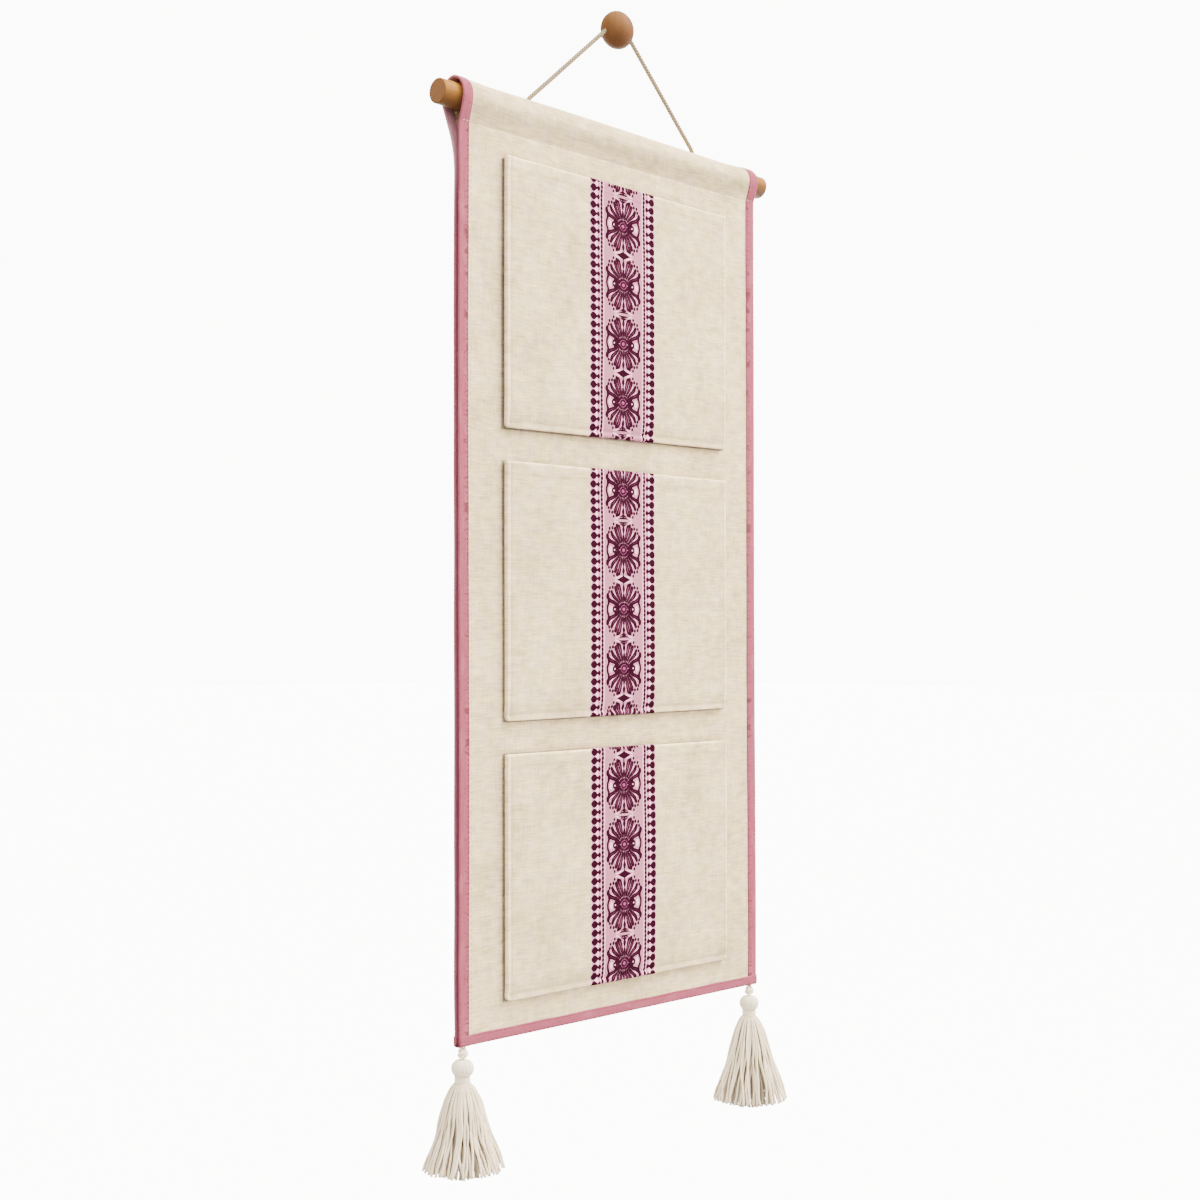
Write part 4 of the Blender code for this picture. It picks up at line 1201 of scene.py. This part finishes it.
# %% Weave the ribbons
def ribbon_material(name, ground, grey, pale, middle, dark, dark_light):
    material, tree, shader = new_material(name, 0.9, specular=0.03)
    uv = pattern_uv(tree)[0]
    in_dark, in_pale, in_middle = split(stored_colour(tree, "figure"), "Color")
    ragged = (noise(uv, (900.0, 3600.0, 1.0), 1.0) - 0.5) * 0.22
    is_dark = spread(in_dark + ragged, 0.27, 0.41)
    is_pale = spread(in_pale + ragged, 0.34, 0.60)
    is_middle = spread(in_middle + ragged, 0.42, 0.60)
    picks = noise(uv, (420.0, 2800.0, 1.0), 2.0, (2.0, 5.0, 0.0))
    cloudy = noise(uv, (120.0, 90.0, 1.0), 2.0, (7.0, 1.0, 0.0))
    base = mix(spread(cloudy, 0.35, 0.65), ground, grey)
    base = mix(spread(picks, 0.35, 0.70, 0.0, 0.35), base, each_times(ground, 0.62))
    base = mix(spread(in_dark, 0.0, 0.30) * 0.30, base, pale)
    base = mix(is_middle, mix(is_pale, base, pale), middle)
    worn = mix(spread(picks, 0.45, 0.75), dark, dark_light)
    mix(is_dark, base, worn).into(shader, "Base Color")
    bump(shader, picks * 0.8 + (is_dark + is_pale * 0.7), 0.16)
    return material


ribbon_finish = ribbon_material("woven ribbon", (0.50, 0.165, 0.265), (0.44, 0.195, 0.250),
                                (1.0, 0.46, 0.62), (0.27, 0.062, 0.145),
                                (0.019, 0.0010, 0.0070), (0.048, 0.0038, 0.019))
FIRST_FLOWER = (27.0, 13.6, 25.5)       # middle of each top flower, below the pocket's top
STAR_START = (0, 1, 1)                  # which star comes first on each ribbon
RIBBON_SHIFT = -1.6                     # the ribbons are sewn on a little off the middle
RIBBON_LIFT = 0.42                      # ribbon's face, off the pocket's
RIBBON_STEP = 0.5                       # between grid lines, fine enough for the figures

for number, (low, high) in enumerate(POCKETS):
    height = high - low
    columns = int(2 * RIBBON_HALF / RIBBON_STEP)
    lower_end = LOW_RUN + 2.4
    upper_end = height - HEM_RADIUS + math.pi * HEM_RADIUS + HEM_DEPTH - 1.0
    rows = int((upper_end - lower_end) / RIBBON_STEP)
    across = np.linspace(-RIBBON_HALF, RIBBON_HALF, columns + 1)
    upward = np.linspace(lower_end, upper_end, rows + 1)

    def place_ribbon(i, j):
        edge = (i == 0) | (i == columns)
        points = pocket_surface(number, across[i] + RIBBON_SHIFT, upward[j],
                                np.where(edge, 0.02, RIBBON_LIFT))
        return points, np.stack([across[i] * MM, upward[j] * MM], axis=1)

    end = "_" + str(number + 1)
    mesh = cloth_grid("ribbon_weave" + end, columns, rows, place_ribbon)
    chart = grid_places(mesh) / MM
    x = np.abs(chart[:, 0])
    y = chart[:, 1] - (height - FIRST_FLOWER[number])
    repeat = np.floor(y / REPEAT + 0.5)
    star = np.floor(y / REPEAT)
    y = y - repeat * REPEAT
    dark, pale, middle = palmette(x, np.abs(y), (star + STAR_START[number]) % 2 == 0)
    border_dark, border_pale = border(RIBBON_HALF - x, chart[:, 1])
    dark = np.maximum(dark, border_dark)
    pale = np.maximum(pale, border_pale)
    write_colour(mesh, "figure", np.clip(0.5 + np.stack([dark, pale, middle], axis=1) / 2.0,
                                         0.0, 1.0))
    ribbon_piece = add_piece("ribbon_weave" + end, mesh, ribbon_finish,
                             ["ribbon" + end])
    (upper_end - lower_end) * MM

# %% [markdown]
# ## Turned wood
# The dowel is a light wood with straight grain along its length, cut square and eased at the
# rim, so its ends show darker end grain with part of the growth rings. The knob is a darker
# wood, turned and lightly oiled, with one soft highlight. Both are painted darker towards the
# bottom, as painted shade.

# %% Wood materials
def wood_material(name, colour, shade, ring, scale, roughness, specular, shade_below):
    """The last argument gives the height where the wood is darkest, where it is palest, and
    the darkest colour, for painted shade towards the bottom.
    """
    material, tree, shader = new_material(name, roughness, specular)
    place = object_place(tree)
    streaks = noise(place, scale, 4.0)
    pores = noise(place, each_times(scale, 5.0), 2.0, (0.4, 0.2, 0.7))
    broad = noise(place, each_times(scale, 0.22), 2.0, (0.9, 0.3, 0.1))
    base = mix(spread(streaks, 0.32, 0.68), colour, shade)
    base = mix(spread(broad, 0.45, 0.70, 0.0, 0.6), base, ring)
    base = mix(spread(pores, 0.62, 0.80, 0.0, 0.45), base, each_times(shade, 0.5))
    # painted shade: darker towards the bottom
    base = mix(spread(split(place)[2], shade_below[0] * MM, shade_below[1] * MM), shade_below[2], base)
    base.into(shader, "Base Color")
    bump(shader, streaks + pores, 0.05)
    return material, shader, place, base


dowel_wood = wood_material("dowel wood", (0.37, 0.155, 0.024), (0.25, 0.095, 0.012),
                           (0.20, 0.072, 0.010), (22.0, 420.0, 420.0), 0.55, 0.05,
                           (DOWEL_Z - 9.0, DOWEL_Z + 7.0, (0.105, 0.048, 0.018)))[0]

# growth rings run round the pith, which lies off the dowel's own axis
end_grain, tree, shader = new_material("end grain", 0.75, specular=0.25)
place = object_place(tree)
from_pith = scaled(place, (0.0, 1.0, 1.0), (0.0, -(DOWEL_Y + 5.0) * MM,
                                            -(DOWEL_Z + 7.0) * MM)).vectors(
    "LENGTH", output="Value")
wobble = noise(place, (1.0, 260.0, 260.0))
fine = noise(place, (1.0, 2400.0, 2400.0))
rings = (from_pith * 3600.0 + wobble * 3.0).maths("SINE")
mix(spread(rings * 0.30 + fine, 0.15, 0.85), (0.215, 0.090, 0.026),
    (0.135, 0.053, 0.015)).into(shader, "Base Color")
bump(shader, fine, 0.10)

# the knob is painted dark inside the two mouths where the cord goes in, as painted shade where
# holes would be
knob_wood, shader, place, base = wood_material(
    "knob wood", (0.205, 0.090, 0.030), (0.135, 0.056, 0.018), (0.17, 0.078, 0.026),
    (160.0, 160.0, 30.0), 0.50, 0.03, (-15.0, 8.0, (0.085, 0.037, 0.017)))
mouth = (11.9 * MM, -KNOB_Y * MM, 4.2 * MM)
from_mouth = place.vectors("ABSOLUTE").vectors("DISTANCE", mouth, "Value")
in_mouth = (spread(from_mouth, 1.4 * MM, 1.9 * MM, 1.0, 0.0)
            * split(place)[2].maths("LESS_THAN", 0.0))
mix(in_mouth, base, (0.02, 0.008, 0.004)).into(shader, "Base Color")
print("wood materials made")

# %% Turn the dowel
bm = bmesh.new()
along_x = Matrix.Translation((0, DOWEL_Y, DOWEL_Z)) @ Matrix.Rotation(math.pi / 2, 4, "Y")
bmesh.ops.create_cone(bm, cap_ends=True, segments=72, radius1=DOWEL_RADIUS,
                      radius2=DOWEL_RADIUS, depth=dowel_high[0] - dowel_low[0],
                      matrix=along_x)
rims = [edge for edge in bm.edges if edge.calc_face_angle() > 1.0]
bmesh.ops.bevel(bm, geom=rims, offset=0.6, offset_type="OFFSET", segments=3, profile=0.5,
                affect="EDGES", material=-1)
for face in bm.faces:
    if len(face.verts) > 4:
        face.material_index = 1
for vert in bm.verts:
    vert.co.z -= DOWEL_TILT * (vert.co.x + SIDE_X)
    vert.co.x += DOWEL_MORE if vert.co.x > 0.0 else 0.0
bmesh.ops.scale(bm, vec=(MM, MM, MM), verts=bm.verts)
dowel_piece = add_piece("dowel_turned", finished_mesh(bm, "dowel_turned"), dowel_wood,
                        ["dowel"])
dowel_piece.data.materials.append(end_grain)

# %% Turn the knob
KNOB_RADIUS = 12.8
SHANK_RADIUS = 3.2
bm = bmesh.new()
meet = math.asin(SHANK_RADIUS / KNOB_RADIUS)
turning = [(KNOB_RADIUS * math.sin(a), KNOB_HALF_DEPTH * math.cos(a))
           for a in np.linspace(0.0, math.pi - meet, 33)]
turning += [(SHANK_RADIUS - 0.8, KNOB_Y + 5.0), (1.0, KNOB_Y), (0.0, KNOB_Y)]
line = [bm.verts.new((radius, -depth + KNOB_Y, 0.0)) for radius, depth in turning]
edges = [bm.edges.new(pair) for pair in zip(line, line[1:])]
bmesh.ops.spin(bm, geom=line + edges, cent=(0, 0, 0), axis=(0, 1, 0), angle=math.tau,
               steps=64, use_merge=True, use_duplicate=False)
bmesh.ops.remove_doubles(bm, verts=bm.verts, dist=1e-4)
bmesh.ops.recalc_face_normals(bm, faces=bm.faces)
bmesh.ops.translate(bm, vec=(0.0, 0.0, -KNOB_DROP), verts=bm.verts)
bmesh.ops.scale(bm, vec=(MM, MM, MM), verts=bm.verts)
add_piece("knob_turned", finished_mesh(bm, "knob_turned"), knob_wood, ["knob"])

# %% [markdown]
# ## Cotton tassels
# A tassel is a bundle of yarn tied at its middle, folded down over a knot and wound round at
# the neck. So its head shows yarns running from top to neck, its neck shows turns of yarn,
# and its skirt is all the cut ends, each a little different in length and lean.

# %% Shape of a tassel
TASSEL_X = SIDE_X - 4.8
TASSEL_Y = (box_mm("tassel_wrap_left")[0][1] + box_mm("tassel_wrap_left")[1][1]) / 2
HEAD_TOP = box_mm("tassel_left")[1][2]
HEAD_PROFILE = np.array([(0.9, 0.1), (2.4, 0.0), (4.8, 0.9), (6.3, 2.8), (6.9, 5.0),
                         (6.4, 7.3), (5.3, 9.1), (4.0, 10.2), (4.0, 14.6)], dtype=float)
HEAD_YARNS = 26
HEAD_YARN_RADIUS = 0.88
SKIRT_ROOT = 14.2                       # depth below the top of the head
SKIRT_LENGTH = {-1: 56.0, 1: 64.0}
SKIRT_FALL = (0.0, 3.0, 10.4, 21.8, 33.0, 46.0, 54.0, 64.0)
SKIRT_OUTSIDE = (4.4, 7.6, 11.5, 15.0, 18.3, 23.6, 26.0, 28.8)
SKIRT_RINGS = ((8, 0.20), (18, 0.42), (34, 0.62), (54, 0.82), (76, 1.00))
WALL_CLEAR = 1.3                        # how far a yarn's middle stays off the wall
NECK_TURNS = 4
KNOT_TILTS = np.array([0.15, 1.15, 2.15])


def in_room(offset_x, offset_y, fallen):
    """Draws in the rear of the skirt, where it lies against the wall."""
    size = np.hypot(offset_x, offset_y)
    start = 0.5 * size
    slope = 1 - 0.8 * np.minimum(2 * fallen, 1.0)
    behind = offset_y > start
    drawn_in = np.where(behind, start + (offset_y - start) * slope, offset_y)
    return offset_x, np.minimum(drawn_in, -TASSEL_Y - WALL_CLEAR)


def make_tassel(side, name):
    x = side * TASSEL_X
    rng = np.random.default_rng(11 if side < 0 else 12)
    right, down = askew(x, HEAD_TOP)

    def yarns(part, material, replaced, *shape, **more):
        mesh = tubes("tassel_" + part + name, *shape, **more)
        add_piece("tassel_" + part + name, mesh, material,
                  [node + name for node in replaced])

    def round_axis(radius, heading, depth):
        return np.stack([x + radius * np.cos(heading), TASSEL_Y + radius * np.sin(heading),
                         HEAD_TOP - depth], axis=1)

    # head: yarns over a soft core
    def head_place(t):
        where = np.clip(t, 0.0, 1.0) * (len(HEAD_PROFILE) - 1)
        return look_up(HEAD_PROFILE, range(len(HEAD_PROFILE)), where).T

    def head_centre(k, t):
        radius, depth = head_place(t)
        heading = math.tau * (k + head_jitter[k]) / HEAD_YARNS + 0.05 * np.sin(3.0 * t + k)
        return round_axis(np.maximum(radius - 0.75, 0.35), heading, depth + 0.5 * (1 - t))

    def head_radius(k, t):
        return np.clip(head_place(t)[0] * 0.17, 0.25, HEAD_YARN_RADIUS + 0.12)

    head_jitter = rng.uniform(-0.12, 0.12, HEAD_YARNS)
    yarns("head_", cotton_yarn, ["tassel_"], HEAD_YARNS, 7, 24, head_centre, head_radius,
          24.0)
    bm = bmesh.new()
    bmesh.ops.create_uvsphere(bm, u_segments=24, v_segments=16, radius=1.0)
    bmesh.ops.scale(bm, vec=(5.6 * MM, 5.6 * MM, 4.5 * MM), verts=bm.verts)
    bmesh.ops.translate(bm, vec=((x + right) * MM, TASSEL_Y * MM,
                                 (HEAD_TOP - 5.4 - down) * MM), verts=bm.verts)
    add_piece("tassel_core_" + name, finished_mesh(bm, "tassel_core_" + name), cotton_yarn)

    # skirt: each yarn has its own heading, spread, length and sway
    rows = []
    for count, share in SKIRT_RINGS:
        for index in range(count):
            heading = math.tau * (index + rng.uniform(-0.40, 0.40)) / count
            rows.append((heading, share * rng.uniform(0.86, 1.0),
                         SKIRT_LENGTH[side] + 3.0 * (1.0 - share) - rng.uniform(0.0, 1.5),
                         rng.uniform(-0.16, 0.16), rng.uniform(0.0, math.tau),
                         rng.uniform(0.88, 1.15)))
    heading, share, length, twist, phase, size = np.array(rows).T

    def skirt_centre(k, t):
        fall = np.clip(t, 0.0, 1.02)
        out = share[k] * np.interp(fall * length[k], SKIRT_FALL, SKIRT_OUTSIDE)
        sway = (0.75 * np.sin(phase[k] + 5.0 * fall)
                + 0.38 * np.sin(1.7 * phase[k] + 14.0 * fall)) * smoothstep(fall, 0.05, 0.5)
        out = out + 0.40 * np.sin(2.3 * phase[k] + 10.0 * fall) * smoothstep(fall, 0.1, 0.5)
        angle = heading[k] + twist[k] * np.sin(fall * 3.0 + phase[k]) * fall
        ox = out * np.cos(angle) - sway * np.sin(angle)
        oy = out * np.sin(angle) + sway * np.cos(angle)
        ox, oy = in_room(ox, oy, fall)
        arc = 0.0050 * (ox ** 2 + oy ** 2) * fall ** 3
        return np.stack([x + ox, TASSEL_Y + oy, HEAD_TOP - SKIRT_ROOT - t * length[k] + arc],
                        axis=1)

    def skirt_radius(k, t):
        fall = np.clip(t, 0.0, 1.0)
        full = 0.34 + 0.33 * smoothstep(fall, 0.0, 0.30) + 0.09 * fall
        return size[k] * full * (1 + 0.06 * np.sin(40.0 * fall + phase[k]))

    mesh = tubes("tassel_skirt_" + name, len(rows), 6, 26, skirt_centre, skirt_radius,
                 SKIRT_LENGTH[side])
    laid = read_points(mesh) / MM
    from_axis = np.hypot(laid[:, 0] - x - right, laid[:, 1] - TASSEL_Y)
    fallen = HEAD_TOP - SKIRT_ROOT - laid[:, 2] - down
    inside = from_axis / np.interp(fallen, SKIRT_FALL, SKIRT_OUTSIDE)
    # painted shade: yarns deep inside the skirt and at its rear are painted darker; each yarn
    # also gets its own random tone
    deep = 0.46 + 0.56 * smoothstep(inside, 0.74, 0.97)
    deep = deep * np.repeat(rng.uniform(0.80, 1.04, len(rows)), len(laid) // len(rows))
    rear = laid[:, 1] > TASSEL_Y + 0.3 * from_axis
    write_colour(mesh, "painted_shading",
                 np.where(rear, 0.8, deep)[:, None] * np.array([[1.0, 0.955, 0.90]]))
    add_piece("tassel_skirt_" + name, mesh, skirt_yarn)

    # neck: one yarn wound down it
    def neck_centre(k, t):
        angle = NECK_TURNS * math.tau * t + 0.6
        return round_axis(4.40 + 0.12 * np.sin(3.0 * angle), angle,
                          10.5 + 3.7 * t + 0.10 * np.sin(angle * 1.7))

    yarns("neck_", cotton_yarn, ["tassel_wrap_"], 1, 8, NECK_TURNS * 28, neck_centre, 0.62,
          NECK_TURNS * math.tau * 4.4, reference=(0.0, 0.0, 1.0))

    # loop through the hem, and the knot that stops it
    top = HEM_Z + 1.2 + 0.75
    bottom = HEM_Z - 5.0

    def loop_centre(k, t):
        angle = math.tau * t - math.pi / 2
        across = np.sign(np.cos(angle)) * np.abs(np.cos(angle)) ** 0.55
        up = np.sign(np.sin(angle)) * np.abs(np.sin(angle)) ** 0.75
        return np.stack([x + 1.9 * across, TASSEL_Y + 0.25 * np.cos(angle),
                         bottom + (top - bottom) / 2 * (1 + up)], axis=1)

    def knot_centre(k, t):
        angle = math.tau * t
        across = 2.75 * np.cos(angle)
        up = 0.95 * np.sin(2 * angle + k)
        lean = KNOT_TILTS[k]
        return np.stack([x + across * np.cos(lean) - up * np.sin(lean),
                         TASSEL_Y + 0.9 * 2.3 * np.sin(angle),
                         HEAD_TOP + 3.7 + 0.9 * (across * np.sin(lean) + up * np.cos(lean))],
                        axis=1)

    yarns("loop_yarn_", cotton_yarn, ["tassel_loop_"], 1, 8, 64, loop_centre, 0.72, 22.0,
          reference=(0.05, 1.0, 0.0))
    yarns("knot_", cotton_yarn, [], 3, 8, 40, knot_centre, 1.05, 13.0,
          reference=(0.3, 0.2, 1.0))


for side, name in SIDES:
    make_tassel(side, name)

# %% [markdown]
# ## Light, floor and background
# One large soft light from the right and above gives the cloth its shading, and a dome of
# weaker light fills the shadows. A bright backdrop stands behind the hanging, and the pale
# floor glows into it with distance, so no line shows where they meet.

# %% Light, floor and background
KEY_PLACE = (1.25, -1.35, 1.45)
KEY_AIM = (0.0, 0.0, -0.35)
BACKDROP = (1.0, 0.985, 0.965, 1.0)
FLOOR_Z = -1.5
BEHIND = (math.sin(math.radians(CAMERA_TURN)), math.cos(math.radians(CAMERA_TURN)), 0.0)
ASIDE = (BEHIND[1], -BEHIND[0], 0.0)
UP = (0.0, 0.0, 1.0)
LIGHT_SIDE = (0.45, -0.50, 0.74)
LEFT = (-0.92, -0.32, 0.22)

key_data = bpy.data.lights.new("key softbox", "AREA")
key_data.shape = "DISK"
key_data.size = 1.5
key_data.energy = 184.0
key_data.color = (1.0, 0.94, 0.86)
key = bpy.data.objects.new("key softbox", key_data)
key.location = KEY_PLACE
key.rotation_euler = (Vector(KEY_AIM) - Vector(KEY_PLACE)).to_track_quat("-Z", "Y").to_euler()
key.visible_camera = False
bpy.context.scene.collection.objects.link(key)

world = bpy.data.worlds.new("studio")
bpy.context.scene.world = world
world.use_nodes = True
direction = add(world.node_tree, "TexCoord", {}, "Generated")


def toward(axis):
    return direction.vectors("DOT_PRODUCT", axis, "Value")


dome = (spread(toward(LIGHT_SIDE), -0.35, 0.95, 0.25, 3.0)
        + spread(toward(LEFT), 0.2, 0.95, 0.0, 1.4)
        + spread(toward(UP), 0.45, 1.0, 0.0, 2.5))
off_backdrop = abs(toward(ASIDE)).maths("MAXIMUM", abs(toward(UP)))
backdrop = (spread(off_backdrop, 0.358, 0.41, 11.5, 0.0)
            * toward(BEHIND).maths("GREATER_THAN", 0.0))
background = world.node_tree.nodes["Background"]
background.inputs["Color"].default_value = BACKDROP
dome.maths("MAXIMUM", backdrop).into(background, "Strength")

bm = bmesh.new()
bmesh.ops.create_grid(bm, x_segments=1, y_segments=1, size=30.0)
floor = bpy.data.objects.new("floor", finished_mesh(bm, "floor"))
floor.location = (0.0, 0.0, FLOOR_Z)
bpy.context.scene.collection.objects.link(floor)
material, tree, shader = new_material("pale floor", 0.9, specular=0.1)
shader.inputs["Base Color"].default_value = (0.40, 0.39, 0.37, 1.0)
shader.inputs["Emission Color"].default_value = BACKDROP
beyond = object_place(tree).vectors("DOT_PRODUCT", BEHIND, "Value")
spread(beyond, 1.85, 2.12, 0.0, 11.3).into(shader, "Emission Strength")
floor.data.materials.append(material)
